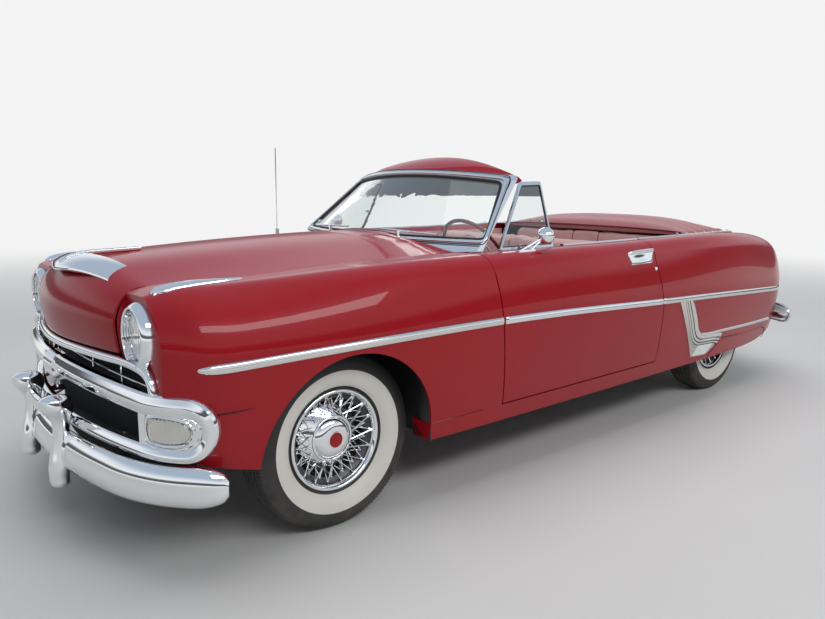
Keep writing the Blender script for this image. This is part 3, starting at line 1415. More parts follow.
@dataclass
class SideTrim:
    """Bright mouldings, boomerang trim and handles along one body side."""
    half: float = 0.0165
    proud: float = 0.0105
    skirt: float = -0.002
    door_front_x: float = 0.917
    door_rear_x: float = -0.402
    line: tuple = ((-2.235, 0.655), (-0.874, 0.721), (-0.395, 0.737), (0.3, 0.764), (0.960, 0.780),
                   (1.673, 0.776), (2.318, 0.758))
    band_v: tuple = (-1.06, -1.0, -0.93, -0.55, -0.12, 0.0, 0.12, 0.6, 0.93, 1.0, 1.06)
    band_lift: tuple = (-0.4, 0.30, 0.52, 0.84, 0.97, 1.0, 0.97, 0.78, 0.42, 0.22, -0.4)
    inner_line: tuple = ((-0.722, 0.722), (-0.772, 0.640), (-0.808, 0.577), (-0.840, 0.520), (-0.872, 0.489),
                         (-0.922, 0.474), (-1.002, 0.467), (-1.085, 0.462), (-1.190, 0.456))
    outer_line: tuple = ((-0.583, 0.724), (-0.645, 0.622), (-0.697, 0.540), (-0.748, 0.458), (-0.820, 0.345),
                         (-0.880, 0.341), (-0.950, 0.337), (-1.010, 0.335), (-1.175, 0.405))
    outer_share: tuple = (0, 0.14, 0.28, 0.42, 0.57, 0.68, 0.80, 0.90, 1.0)
    bands: tuple = ((0.0, 0.030, 0.0085), (0.035, 0.055, 0.0065), (0.060, 0.076, 0.0055))
    reeds: int = 12
    steps: int = 64
    tail_line: tuple = ((-0.733, 0.700), (-0.772, 0.640), (-0.808, 0.577), (-0.840, 0.520), (-0.872, 0.491),
                        (-0.922, 0.478), (-1.10, 0.470), (-1.50, 0.460), (-2.008, 0.448))
    door_belt: tuple = ((0.330, 0.812, 1.0755), (0.0, 0.8155, 1.0775), (-0.340, 0.8145, 1.0795))
    rear_belt: tuple = ((-0.352, 0.8145, 1.0800), (-0.70, 0.8125, 1.0830), (-1.00, 0.806, 1.0850),
                        (-1.28, 0.793, 1.0855), (-1.47, 0.776, 1.0835), (-1.60, 0.752, 1.0790))

    def band(self, x0: float, x1: float, front_tip: float, rear_tip: float) -> np.ndarray:
        """One moulding length.

        The half height grows over each tip as a quarter ellipse, and the cut is a crown with a
        ridge along its middle.

        Args:
            x0: front end.
            x1: rear end.
            front_tip: length of the pointed front, or zero.
            rear_tip: length of the pointed rear, or zero.

        Returns:
            Its grid.
        """
        line = np.array(self.line)
        x = np.linspace(x0, x1, int((x0 - x1) / 0.02) + 24)
        size = np.ones(len(x))
        for tip, gap in ((front_tip, x0 - x), (rear_tip, x - x1)):
            if tip:
                size *= np.sqrt(1 - (1 - np.clip(gap / tip, 0, 1)) ** 2)
        z = spline(line[:, 0], line[:, 1], x)
        v, lift = np.array(self.band_v), np.array(self.band_lift) * self.proud
        high = np.where(lift > 0, lift * (0.25 + 0.75 * size[:, None]), lift)
        high[[0, -1]] = -0.004
        return on_side(x[:, None], z[:, None] + v * self.half * size[:, None], high)

    def boomerang(self, shape: Shape) -> None:
        """Adds the ribbed boomerang plate.

        Its inner edge is a smooth curve and its outer edge a cornered one, both in side view. The
        height across it has three nested bands beside the inner edge with dark grooves between
        them, fine reeding, and a lip.

        Args:
            shape: shape that takes it.
        """
        inner, outer = resample(self.inner_line, self.steps), np.array(self.outer_line)
        t = np.linspace(0, 1, self.steps)
        outer = np.stack([np.interp(t, self.outer_share, outer[:, i]) for i in range(2)], -1)
        width = np.linalg.norm(outer - inner, axis=1)[:, None]
        near, lift, grooves = [], [], []
        for start, end, high in self.bands:
            near += [start, start + 0.0008, start + 0.004, (start + end) / 2, end - 0.004, end - 0.0008, end]
            lift += [-0.001, 0.7 * high, high, 1.03 * high, high, 0.7 * high, -0.001]
            grooves.append(len(near) - 1)
        edge = self.bands[-1][1] + 0.004
        far = np.linspace(0.0, 1.0, 6 * self.reeds + 1)
        reeds = 0.0036 + 0.0012 * np.cos(far * self.reeds * 2 * np.pi)
        reeds[0], reeds[-3:] = -0.001, (0.0050, 0.0045, self.skirt)
        across = np.concatenate([np.tile(near, (self.steps, 1)), edge + (width - edge) * far], axis=1) / width
        lift = np.tile(np.concatenate([lift, reeds]), (self.steps, 1))
        lift[[0, -1]] = self.skirt
        place = inner[:, None] + (outer - inner)[:, None] * across[..., None]
        slots = np.zeros(lift.shape[1], int)
        slots[grooves] = 1
        shape.grid(on_side(place[..., 0], place[..., 1], lift), slot=slots)

    def bead(self, points: ArrayLike, half: float, lift: float, count: int) -> np.ndarray:
        """Narrow half-round bead through side-view points.

        Args:
            points: rows of (x, z).
            half: half width.
            lift: height over the surface.
            count: steps along it.

        Returns:
            Its grid.
        """
        path = resample(points, count)
        tangent = unit(np.gradient(path, axis=0))
        a = np.linspace(0, np.pi, 7)
        v = np.concatenate([[half], np.cos(a) * half, [-half]])
        high = np.tile(np.concatenate([[self.skirt], np.sin(a) * lift, [self.skirt]]), (count, 1))
        high[[0, -1]] = self.skirt
        cross = np.stack([-tangent[:, 1], tangent[:, 0]], -1)
        place = path[:, None] + cross[:, None] * v[:, None]
        return on_side(place[..., 0], place[..., 1], high)

    def handle(self, shape: Shape) -> None:
        """Adds the door handle: tapered back plate with a finger scoop, grip bar and lock button.

        Args:
            shape: shape that takes it.
        """
        u, v = np.linspace(0, 1, 29)[:, None], np.linspace(0, 1, 17)[None]
        front, back = -0.082 - 0.024 * (1 - v), -0.352 + 0.050 * (1 - v)
        edge = np.minimum(np.minimum(u, 1 - u) * 12, np.minimum(v, 1 - v) * 6)
        scoop = np.exp(-(((u - 0.42) / 0.26) ** 2) - ((v - 0.48) / 0.24) ** 2)
        plate = 0.0045 * np.clip(edge, 0, 1) ** 0.5 + 0.001 - 0.0042 * scoop
        lift = np.where(edge > 0, plate, self.skirt)
        shape.grid(on_side(front + (back - front) * u, 0.957 + 0.068 * v + 0.004 * u * v, lift))
        path = on_side(np.linspace(-0.088, -0.345, 25), np.linspace(1.018, 1.024, 25), 0.0)
        t = np.linspace(-1, 1, 25)
        path += true_normals(path, "side")[1] * (0.016 - 0.014 * np.abs(t[:, None]) ** 6)
        size = np.clip(1.15 - 0.5 * np.abs(t) ** 4, 0.3, 1.2)
        shape.tube(path, oval(0.0085, 0.0065, 0.0065, 20, 0.8), scale=size)
        button = turned([(0.0, 0.006), (0.008, 0.0055), (0.0105, 0.003), (0.0105, -0.004)], 24)
        shape.grid(button + on_side(-0.335, 0.925, 0.0), wrap_u=True)

    def build(self, side: Side) -> None:
        """All trim of one side.

        Args:
            side: which side.
        """
        strip = oval(0.0075, 0.013, 0.010, 16, 0.7)
        fixed = Shape(f"side_trim_{side.word}")
        fixed.grid(self.band(2.318, self.door_front_x + 0.004, 0.085, 0.0))
        fixed.grid(self.band(self.door_rear_x - 0.005, -2.235, 0.0, 0.05))
        self.boomerang(fixed)
        fixed.grid(self.bead(self.tail_line, 0.0105, 0.0095, 160))
        fixed.tube(resample(self.rear_belt, 70), strip)
        fixed.flip(side).make("body", [STAINLESS, DARK], "side_mouldings")
        node = f"door_trim_{side.word}"
        door = Shape(f"{node}_bright").grid(self.band(self.door_front_x, self.door_rear_x, 0.0, 0.0))
        self.handle(door)
        door.tube(resample(self.door_belt, 40), strip)
        door.flip(side).make(BODY_OF[node], [CHROME], node)


@dataclass
class FrontTrim:
    """Hood ornament, fender spears, the fender's return beside the hood, and fine seams.

    A seam is its side-view points, half width, height and steps: below the headlamp, from the
    grille to the arch, and round the skirt of the rear wheel.
    """
    wing_v: tuple = (0.0, 0.0, 0.03, 0.12, 0.3, 0.5, 0.7, 0.9, 1.0, 1.0, 0.6, 0.2)
    wing_crown: tuple = (-0.014, -0.004, 0.001, 0.0035, 0.004, 0.0035, 0.002, 0.001, 0.0, -0.004,
                         -0.003, -0.012)
    spine: tuple = ((2.486, 0, 1.052), (2.462, 0, 1.066), (2.41, 0, 1.083), (2.33, 0, 1.089),
                    (2.24, 0, 1.0915), (2.157, 0, 1.0925))
    return_y: float = 0.5125
    return_x: float = 2.385
    hood_lip_z: float = 0.768
    seam_rows: tuple = (
        (((2.296, 0.598), (2.21, 0.602), (2.118, 0.606)), 0.0013, 0.0003, 24),
        (((2.393, 0.852), (2.365, 0.853), (2.330, 0.853)), 0.0010, 0.0003, 16),
        (((-1.205, 0.4165), (-1.55, 0.4065), (-1.88, 0.395), (-1.975, 0.378), (-2.014, 0.346),
          (-2.012, 0.318), (-1.985, 0.306)), 0.0026, 0.0004, 110))

    def ornament(self) -> None:
        """Open V-shaped wing across the nose and the spine that runs back from it."""
        u, v = np.linspace(-1, 1, 61)[:, None], np.array(self.wing_v)[None]
        wide = np.abs(u)
        x = (2.482 - 0.069 * wide ** 1.25) * (1 - v) + (2.380 - 0.060 * wide) * v
        y = np.sign(u) * (0.364 * wide * (1 - v) + 0.299 * wide * v)
        rise = (0.030 * (1 - wide ** 1.6) + 0.004) * (1 - v) + (0.016 * (1 - wide) + 0.004) * v
        lift = np.maximum(rise + self.wing_crown, 0.0003)
        wing = with_poles(on_top(x, y, lift, "hood"))
        path = resample(self.spine, 40)
        t = np.linspace(0, 1, 40)[:, None]
        wide = 0.003 + 0.013 * np.clip(t * 9, 0, 1) ** 0.6 * (1 - t) ** 0.8
        deep = 0.008 + 0.014 * np.clip(t * 6, 0, 1) * (1 - t) ** 0.5
        a = angles(20)
        high = np.where(np.cos(a) > 0, 0.006, deep) * np.cos(a)
        rows = xyz(path[:, :1], wide * np.sin(a), path[:, 2:] + 0.002 + high)
        shape = Shape("hood_ornament_wing").grid(wing, wrap_v=True).grid(with_poles(rows), wrap_v=True)
        shape.make(BODY_OF["hood_ornament"], [CHROME], "hood_ornament", sharp=40.0)

    def spear(self, side: Side) -> None:
        """Fender spear, forked in front and drawn to a point behind.

        Args:
            side: which side.
        """
        t, v = np.linspace(0, 1, 56)[:, None], np.linspace(-1, 1, 25)[None]
        half = 0.039 * (1 - t) ** 0.85 * np.clip(t * 7, 0.35, 1) ** 0.6 + 0.003
        fork = np.exp(-(v / 0.34) ** 2) * np.clip(1 - t / 0.5, 0, 1)
        crown = (1 - np.abs(v) ** 3) * (0.006 + 0.013 * (1 - t)) * np.clip(t * 10 + 0.25, 0, 1)
        lift = crown * (1 - 0.75 * fork) + 0.0015
        lift[:, [0, -1]] = lift[[0, -1]] = -0.003
        shape = Shape(f"fender_spear_{side.word}")
        shape.grid(on_top(2.375 - 0.335 * t, 0.675 + 0.014 * t + half * v, lift, "side"))
        shape.flip(side).make("body", [CHROME], "fender_spears")

    def returns(self, side: Side) -> None:
        """Painted return of the fender face forward to the hood's side edge, 3 mm thick.

        Args:
            side: which side.
        """
        z = np.linspace(0.748, 0.972, 40)
        spots, _ = settled(xyz(2.45, self.return_y, z), "hood", 0, 12)
        edge = np.maximum(spots[:, 0] - 0.006, 2.392)
        below = z < self.hood_lip_z
        edge[below] = min(edge[~below][0], 2.425)
        rows = np.stack([xyz(self.return_x, self.return_y, z), xyz(edge, self.return_y, z)], 1)
        shape = Shape(f"fender_return_{side.word}").plate(rows, rows + [0.0, 0.003, 0.0])
        shape.flip(side).make("body", [PAINT])

    def seams(self, side: Side) -> None:
        """Dark lines where panels meet.

        Args:
            side: which side.
        """
        shape = Shape(f"panel_seams_{side.word}")
        for row in self.seam_rows:
            shape.grid(SideTrim().bead(*row))
        shape.flip(side).make("body", [DARK])

    def build(self) -> None:
        """All of it."""
        self.ornament()
        for side in Side:
            self.spear(side)
            self.returns(side)
            self.seams(side)


@dataclass
class RearTrim:
    """Tail lamps with bright rims, the painted corner beside the deck, and the deck lid's handle."""
    x: float = -2.340
    y: float = 0.715
    z: float = 0.800
    half_y: float = 0.038
    half_z: float = 0.078
    rim_share: tuple = (1.0, 1.0, 0.99, 0.94, 0.86, 0.83, 0.83)
    rim_out: tuple = (-0.004, 0.011, 0.0145, 0.016, 0.014, 0.009, -0.004)
    handle_half: float = 0.085
    closed: float = 1e-5

    def oval_at(self, share: ArrayLike, out: ArrayLike) -> np.ndarray:
        """Ovals about the lamp's centre.

        Args:
            share: share of the lamp's size, one for each oval.
            out: distance back from the lamp, likewise.

        Returns:
            Grid with one row for each oval.
        """
        share, out = (np.atleast_1d(value)[:, None] for value in (share, out))
        a = angles(72)
        return xyz(self.x - out, self.y + self.half_y * share * np.cos(a),
                   self.z + self.half_z * share * np.sin(a))

    def lamp(self, side: Side) -> None:
        """Bright stepped rim and the domed lens inside it, both ovals of a turned-like profile.

        Args:
            side: which side.
        """
        rim = Shape(f"tail_rim_{side.word}").grid(self.oval_at(self.rim_share, self.rim_out), wrap_v=True)
        rim.flip(side).make("body", [CHROME], "tail_lamps", sharp=40.0)
        turn = np.linspace(0, 1, 16) * np.pi / 2
        inner = self.rim_share[-1]
        lens = Shape(f"tail_lens_{side.word}")
        lens.grid(self.oval_at(inner * np.cos(turn) + self.closed, 0.009 + 0.017 * np.sin(turn)), wrap_v=True)
        lens.grid(self.oval_at([self.closed, inner], 0.008), wrap_v=True)
        lens.flip(side).make("body", [RED_LENS], "tail_lamps")

    def corner(self, side: Side) -> None:
        """Painted wall, 3 mm thick, between the quarter's end and the deck's side.

        Args:
            side: which side.
        """
        y, z = np.linspace(0.600, 0.716, 9)[:, None], np.linspace(0.405, 0.940, 21)[None]
        face = xyz(-2.322 + 0.10 * np.clip((z - 0.82) / 0.12, 0, 1) ** 2, y, z)
        shape = Shape(f"rear_corner_{side.word}").plate(face, face + [0.003, 0.0, 0.0])
        shape.flip(side).make("body", [PAINT])

    def handle(self) -> None:
        """Plain lift handle low on the deck lid: a bar on two feet, kept off the surface by them."""
        y = np.linspace(-self.handle_half, self.handle_half, 41)
        spots = xyz(-2.46, y, 0.79)
        for _ in range(14):
            far, normal = true_normals(spots, "deck")
            spots -= normal * far[:, None]
        lift = 0.016 * (1 - np.abs(y / self.handle_half) ** 6) + 0.001
        shape = Shape("decklid_handle")
        shape.tube(spots + normal * lift[:, None], oval(0.012, 0.012, 0.006, 20, 0.9))
        shape.make("decklid", [CHROME])

    def build(self) -> None:
        """Both sides and the handle."""
        for side in Side:
            self.lamp(side)
            self.corner(side)
        self.handle()


# Soft parts

def softened(corners: ArrayLike, count: int, radius: float) -> np.ndarray:
    """Closed outline through corners, with the corners rounded by a Gaussian blur along its length.

    The blur scales each wave of the outline by exp(-(wave number x radius)^2 / 2).

    Args:
        corners: rows of plane points.
        count: how many points to return.
        radius: how far the blur reaches.

    Returns:
        (count, 2) points.
    """
    corners = np.asarray(corners, float)
    closed = np.vstack([corners, corners[:1]])
    run = run_along(closed)
    fine = 8 * count
    s = np.linspace(0, run[-1], fine, endpoint=False)
    line = np.stack([np.interp(s, run, closed[:, i]) for i in range(2)], -1)
    wave = 2 * np.pi * np.fft.rfftfreq(fine, run[-1] / fine)
    blur = np.exp(-(wave * radius) ** 2 / 2)[:, None]
    return np.fft.irfft(np.fft.rfft(line, axis=0) * blur, fine, axis=0)[::8]


def blown(grid: np.ndarray, pins: np.ndarray, cap: float) -> np.ndarray:
    """Grid blown up as cloth, with each point held within a cap of where it started.

    Args:
        grid: (nu, nv, 3) points, wrapped in the second index.
        pins: (nu, nv) share by which a point is held in place.
        cap: furthest that a point may move.

    Returns:
        The grid after the last frame.
    """
    pressure, frames = 4.0, 20
    mesh = Shape("blown").grid(grid, wrap_v=True).mesh()
    obj = bpy.data.objects.new("blown", mesh)
    scene = bpy.context.scene
    scene.collection.objects.link(obj)
    group = obj.vertex_groups.new(name="held")
    levels = np.round(pins.ravel(), 1)
    for level in np.unique(levels[levels > 0]):
        group.add(np.flatnonzero(levels == level).tolist(), float(level), "REPLACE")
    cloth = obj.modifiers.new("cloth", "CLOTH")
    cloth.settings.use_pressure = True
    cloth.settings.uniform_pressure_force = pressure
    cloth.settings.effector_weights.gravity = 0.0
    cloth.settings.vertex_group_mass = "held"
    cloth.point_cache.frame_start, cloth.point_cache.frame_end = 1, frames
    for tick in range(1, frames + 1):
        scene.frame_set(tick)
    found = np.empty(grid.size, np.float32)
    obj.evaluated_get(bpy.context.evaluated_depsgraph_get()).data.vertices.foreach_get("co", found)
    bpy.data.objects.remove(obj)
    bpy.data.meshes.remove(mesh)
    scene.frame_set(1)
    move = np.nan_to_num(found.reshape(grid.shape).astype(float) - grid)
    length = np.linalg.norm(move, axis=2, keepdims=True)
    return grid + move * np.minimum(1.0, cap / np.maximum(length, 1e-9))


def refined(grid: np.ndarray, rows: int, columns: int) -> np.ndarray:
    """Finer grid by cubic splines along both indices.

    Args:
        grid: (nu, nv, 3) points, wrapped in the second index.
        rows: rows wanted.
        columns: columns wanted.

    Returns:
        (rows, columns, 3) points.
    """
    nu, nv = grid.shape[:2]
    padded = np.concatenate([grid[:, -4:], grid, grid[:, :4]], axis=1)
    at = np.linspace(0, nv, columns, endpoint=False) + 4
    wide = spline(np.arange(nv + 8), np.swapaxes(padded, 0, 1), at)
    return spline(np.arange(nu), np.swapaxes(wide, 0, 1), np.linspace(0, nu - 1, rows))


@dataclass
class Cushion:
    """Upholstered block: a side-view outline carried over the width, blown up, sewn and piped."""
    name: str
    node: str
    outline: tuple
    half: float
    seams: tuple = ()
    edges: tuple = ()
    end_r: float = 0.055
    corner_r: float = 0.022
    inset: float = 0.009
    cap: float = 0.011
    stations: int = 66
    around: int = 56
    rows: int = 190
    columns: int = 112
    tunnel_half: float = 0.14
    tunnel_top: float = 0.4225

    def form(self) -> np.ndarray:
        """Start grid: the rounded outline at each station over the width, drawn in at the ends.

        Over the last stretch of each end the outline shrinks by r (1 - sqrt(1 - q^2)), a quarter
        circle, and then closes to its middle in three steps.

        Returns:
            Its grid, wrapped in the second index.
        """
        outline = softened(self.outline, self.around, self.corner_r)
        mid, size = outline.mean(0), np.ptp(outline, axis=0) / 2
        outline = mid + (outline - mid) * (1 - self.inset / size)
        half = self.half - self.inset
        share = np.sin(np.linspace(-np.pi / 2, np.pi / 2, self.stations))
        y = half * (0.45 * share + 0.55 * np.linspace(-1, 1, self.stations))
        q = np.clip((np.abs(y) - half + self.end_r) / self.end_r, 0, 1)
        scale = 1 - self.end_r * (1 - np.sqrt(1 - q ** 2))[:, None] / size
        close = np.array([0.55, 0.2, 0.02])[:, None]
        scale = np.concatenate([close[::-1] * scale[:1], scale, scale[-1:] * close])
        y = np.concatenate([[y[0]] * 3, y, [y[-1]] * 3])
        place = mid + (outline - mid) * scale[:, None]
        return xyz(place[..., 0], y[:, None], place[..., 1])

    def sewn(self, grid: np.ndarray) -> np.ndarray:
        """Draws the grid in at each seam and lays slow waves over it, as worn leather has.

        Args:
            grid: points of the blown cushion.

        Returns:
            The points moved along their normals.
        """
        du, dv = np.gradient(grid, axis=0), np.roll(grid, -1, 1) - np.roll(grid, 1, 1)
        normal = np.cross(du, dv)
        normal /= np.maximum(np.linalg.norm(normal, axis=2, keepdims=True), 1e-12)
        normal *= np.sign((normal * (grid - grid.mean((0, 1)))).sum(2, keepdims=True))
        x, y, z = np.moveaxis(grid, 2, 0)
        lift = 0.0011 * np.sin(23 * y + 9 * z) * np.sin(31 * z + 17 * x + 1.3)
        for seam in self.seams:
            lift -= 0.0085 * np.exp(-((y - seam) / 0.008) ** 2) + 0.004 * np.exp(-((y - seam) / 0.05) ** 2)
        return grid + normal * lift[..., None]

    def build(self) -> None:
        """Cushion and its piping."""
        start = self.form()
        pins = np.zeros(start.shape[:2])
        pins[:3] = pins[-3:] = 1.0
        low = start[..., 2].min()
        pins[start[..., 2] < low + 0.02] = 1.0
        for seam in self.seams:
            pins[np.abs(start[..., 1] - seam).argmin(0), np.arange(start.shape[1])] = 0.9
        grid = self.sewn(refined(blown(start, pins, self.cap), self.rows, self.columns))
        over_tunnel = (np.abs(grid[..., 1]) < self.tunnel_half) & (low < 0.33)
        grid[..., 2] = np.where(over_tunnel, np.maximum(grid[..., 2], self.tunnel_top), grid[..., 2])
        body = BODY_OF[self.node]
        shape = Shape(self.name).grid(with_poles(grid), wrap_v=True)
        obj = shape.make(body, [LEATHER], self.node, sharp=60.0)
        piping = Shape(self.name + "_piping")
        for seam in self.seams:
            piping.hoop(grid[int(np.abs(grid[:, 0, 1] - seam).argmin())], ring(0.0042, 8), SIDEWAYS)
        middle = grid[self.rows // 2]
        for x, z in self.edges:
            column = int(np.hypot(middle[:, 0] - x, middle[:, 2] - z).argmin())
            piping.tube(grid[8:-8, column], ring(0.0045, 8))
        piping.make(body, [LEATHER_RED])


@dataclass
class TopBoot:
    """Canvas boot stretched over the folded top, with a piped hem and snap studs."""
    half: float = 0.735
    front_x: float = -0.987
    rear_x: float = -1.558
    thick: float = 0.0016
    deck_z: float = 1.074
    knots: tuple = (0.0, 0.035, 0.12, 0.30, 0.50, 0.72, 0.90, 0.975, 1.0)
    crown: tuple = (0.0, 0.33, 0.62, 0.91, 1.0, 0.88, 0.55, 0.25, 0.0)
    stud: tuple = ((0.0, 0.0045), (0.004, 0.004), (0.0065, 0.0015), (0.0065, -0.002))

    def cover(self) -> np.ndarray:
        """Grid of the cover, from its right hem to its left one.

        Lengthwise the cover climbs from the front hem to a crest and falls to the rear hem on a
        cubic, across it follows a power of the half width. It sags a little between the hidden
        bows, and short folds run in from the corners.

        Returns:
            Its grid, across by lengthwise.
        """
        t, s = np.linspace(-1, 1, 97)[:, None], np.linspace(0, 1, 73)[None]
        across = np.abs(t)
        y = self.half * np.sign(t) * (1 - (1 - across) ** 1.25)
        side = across ** 2.6
        front_z, crest, rear_z = 1.106 - 0.018 * side, 1.182 - 0.090 * side, 1.101 - 0.010 * side
        base = front_z + (rear_z - front_z) * s
        z = base + (crest - base) * spline(self.knots, self.crown, s)
        edge = np.clip((1 - across) / 0.05, 0, 1)
        z = z - 0.022 * (1 - np.sqrt(1 - (1 - edge) ** 2))
        bows = 0.5 - 0.5 * np.cos(2 * np.pi * np.clip((s - 0.12) / 0.78, 0, 1) * 3)
        z = z - 0.0035 * bows * (1 - across ** 4)
        corner = np.exp(-((across - 0.86) / 0.12) ** 2)
        z = z + 0.0028 * corner * np.sin(34 * s + 7 * t) * np.sin(np.pi * s)
        x = self.front_x - 0.004 + (self.rear_x - self.front_x + 0.004) * s + 0.045 * side * s * s
        return xyz(x, y, z)

    def build(self) -> None:
        """Cover, hem skirt, piping and studs."""
        grid = self.cover()
        loop = np.concatenate([grid[:, 0], grid[-1, 1:], grid[-2::-1, -1], grid[0, -2:0:-1]])
        drop = loop.copy()
        drop[:, 2] = np.minimum(loop[:, 2] - 0.006, self.deck_z)
        shape = Shape("boot_cover").grid(grid)
        levels = np.linspace(0, 1, 5)[:, None, None]
        shape.grid(loop[None] + (drop - loop)[None] * levels, wrap_v=True)
        cover = shape.make("body", [BOOT_CLOTH], "top_boot", sharp=70.0)
        solid = cover.modifiers.new("thickness", "SOLIDIFY")
        solid.thickness, solid.offset = self.thick, -1.0
        piping = Shape("boot_piping").hoop(loop + [0, 0, 0.001], ring(0.0055, 8))
        trim = piping.make("body", [LEATHER_RED])
        studs = Shape("boot_studs")
        dome = turned(self.stud, 12)[..., [0, 2, 1]]
        for sign in SIGNS:
            for x in np.linspace(-0.80, -1.46, 7):
                studs.grid(dome + [x, sign * (0.806 - 0.04 * (x + 1.0) ** 2), 1.097], wrap_u=True)
        studs.make("body", [CHROME])


# Glass and cabin

@dataclass
class Screen:
    """Windshield surface, a raked cone bowed in plan, with its gasket, bright bead and outer seam.

    Base and top hold the height, the place of the middle, the place of the sides and the half width.
    """
    base: tuple = (1.100, 0.985, 0.826, 0.762)
    top: tuple = (1.430, 0.672, 0.475, 0.625)
    top_half: float = 0.598
    top_z: float = 1.388
    top_arch: float = 0.036
    foot_half: float = 0.742
    foot_z: float = 1.112

    def face(self, y: ArrayLike, z: ArrayLike, out: ArrayLike) -> np.ndarray:
        """Points at front-view places on the glass plane, moved along its outward direction.

        In plan each level is the circle through both sides and the middle, and all its sizes
        change linearly with height.

        Args:
            y: distances across.
            z: heights.
            out: distances out of the glass.

        Returns:
            Points in the shape of the arguments.
        """
        y, z, out = arrays(y, z, out)
        share = (z - self.base[0]) / (self.top[0] - self.base[0])
        mid, side, half = (a + share * (b - a) for a, b in zip(self.base[1:], self.top[1:]))
        sag = mid - side
        radius = (half ** 2 + sag ** 2) / (2 * sag)
        ahead = np.sqrt(radius ** 2 - y ** 2)
        rake = (self.top[1] - self.base[1]) / (self.top[0] - self.base[0])
        normal = unit(xyz(ahead / radius, y / radius, -rake))
        return np.stack([mid - radius + ahead, y, z], -1) + normal * out[..., None]

    def bead(self, grow: float, out: float, section: np.ndarray) -> np.ndarray:
        """Bead carried round the glass.

        Args:
            grow: distance by which its line lies outside the glass.
            out: distance in front of it.
            section: (k, 2) outline.

        Returns:
            Its grid, wrapped in both indices.
        """
        half = self.top_half + 0.8 * grow
        y = np.linspace(half, -half, 13)
        z = self.top_z + grow + self.top_arch * (1 - (y / half) ** 2)
        foot = [(sign * (self.foot_half + grow), self.foot_z - grow) for sign in SIGNS]
        line = softened(list(zip(y, z)) + foot, 220, 0.017)
        path = self.face(line[:, 0], line[:, 1], out)
        path = np.concatenate([path[-2:], path, path[:2]])
        outward = self.face(path[:, 1], path[:, 2], 1.0) - self.face(path[:, 1], path[:, 2], 0.0)
        across = np.cross(unit(np.gradient(path, axis=0)), outward)
        grid = path[:, None] + across[:, None] * section[:, :1] + outward[:, None] * section[:, 1:]
        return grid[2:-2]

    def build(self) -> None:
        """Gasket round the glass, a bright bead and the dark seam outside it."""
        rubber = Shape("screen_gasket")
        rubber.grid(self.bead(-0.004, 0.004, ring(0.0085, 14, 0.8)), wrap_u=True, wrap_v=True)
        rubber.grid(self.bead(0.0235, 0.0125, ring(0.0028, 8, 0.6)), wrap_u=True, wrap_v=True)
        rubber.make("body", [RUBBER])
        bright = Shape("screen_bead")
        bright.grid(self.bead(0.0105, 0.0135, ring(0.0085, 16, 0.6)), wrap_u=True, wrap_v=True)
        bright.make("body", [CHROME])


@dataclass
class VentWindow:
    """Vent window of one door: a chrome frame with its rubber, and the leaning pane."""
    outer: tuple = ((0.787, 1.072), (0.486, 1.3905), (0.329, 1.3955), (0.392, 1.072))
    mid: tuple = (0.50, 1.20)
    size: tuple = (0.20, 0.155)
    y: float = 0.806
    foot_z: float = 1.060
    lean: float = 0.475
    corner_r: float = 0.006
    half_pane: float = 0.0015
    catch: tuple = ((0.0, 0.012), (0.009, 0.011), (0.010, 0.0), (0.0, -0.002))

    def at(self, line: np.ndarray, out: float) -> np.ndarray:
        """Side-view points on the leaning plane, moved out of it."""
        y = self.y - self.lean * (line[..., 1] - self.foot_z) + out
        return np.stack([line[..., 0], y, line[..., 1]], -1)

    def shrunk(self, by: float, count: int) -> np.ndarray:
        """Rounded outline, drawn in by a distance towards its middle."""
        outline = softened(self.outer, count, self.corner_r)
        return self.mid + (outline - self.mid) * (1 - by / np.array(self.size))

    def band(self, outer: float, inner: float, out: float, thick: float) -> np.ndarray:
        """Closed flat band between two shrunk outlines.

        Args:
            outer: distance by which the outer outline is drawn in.
            inner: the same for the inner one.
            out: place of its outer face.
            thick: its thickness.

        Returns:
            Its grid, wrapped in both indices.
        """
        a, b = self.shrunk(outer, 160), self.shrunk(inner, 160)
        inside = out - thick
        return np.stack([self.at(a, inside), self.at(a, out), self.at(b, out), self.at(b, inside)], 1)

    def build(self, side: Side) -> None:
        """Frame, rubber and pane.

        Args:
            side: which side.
        """
        node = f"vent_window_{side.word}"
        metal = Shape(f"vent_frame_{side.word}")
        metal.grid(self.band(0.0, 0.014, 0.0075, 0.015), wrap_u=True, wrap_v=True)
        metal.grid(self.band(0.004, 0.009, 0.0085, 0.003), wrap_u=True, wrap_v=True)
        metal.grid(turned(self.catch, 16) + self.at(np.array([0.405, 1.20]), -0.014), wrap_u=True)
        metal.flip(side).make(BODY_OF[node], [CHROME], node)
        rubber = Shape(f"vent_rubber_{side.word}")
        rubber.grid(self.band(0.0135, 0.019, 0.005, 0.010), wrap_u=True, wrap_v=True)
        rubber.flip(side).make(BODY_OF[node], [RUBBER])
        inner = self.shrunk(0.017, 96)
        middle = self.mid + (inner - self.mid) * 0.02
        rows = [self.at(middle, self.half_pane), self.at(inner, self.half_pane),
                self.at(inner, -self.half_pane), self.at(middle, -self.half_pane)]
        pane = Shape(f"vent_pane_{side.word}").grid(np.stack(rows, 1), wrap_u=True, wrap_v=True)
        pane.flip(side).make(BODY_OF[node], [GLASS])


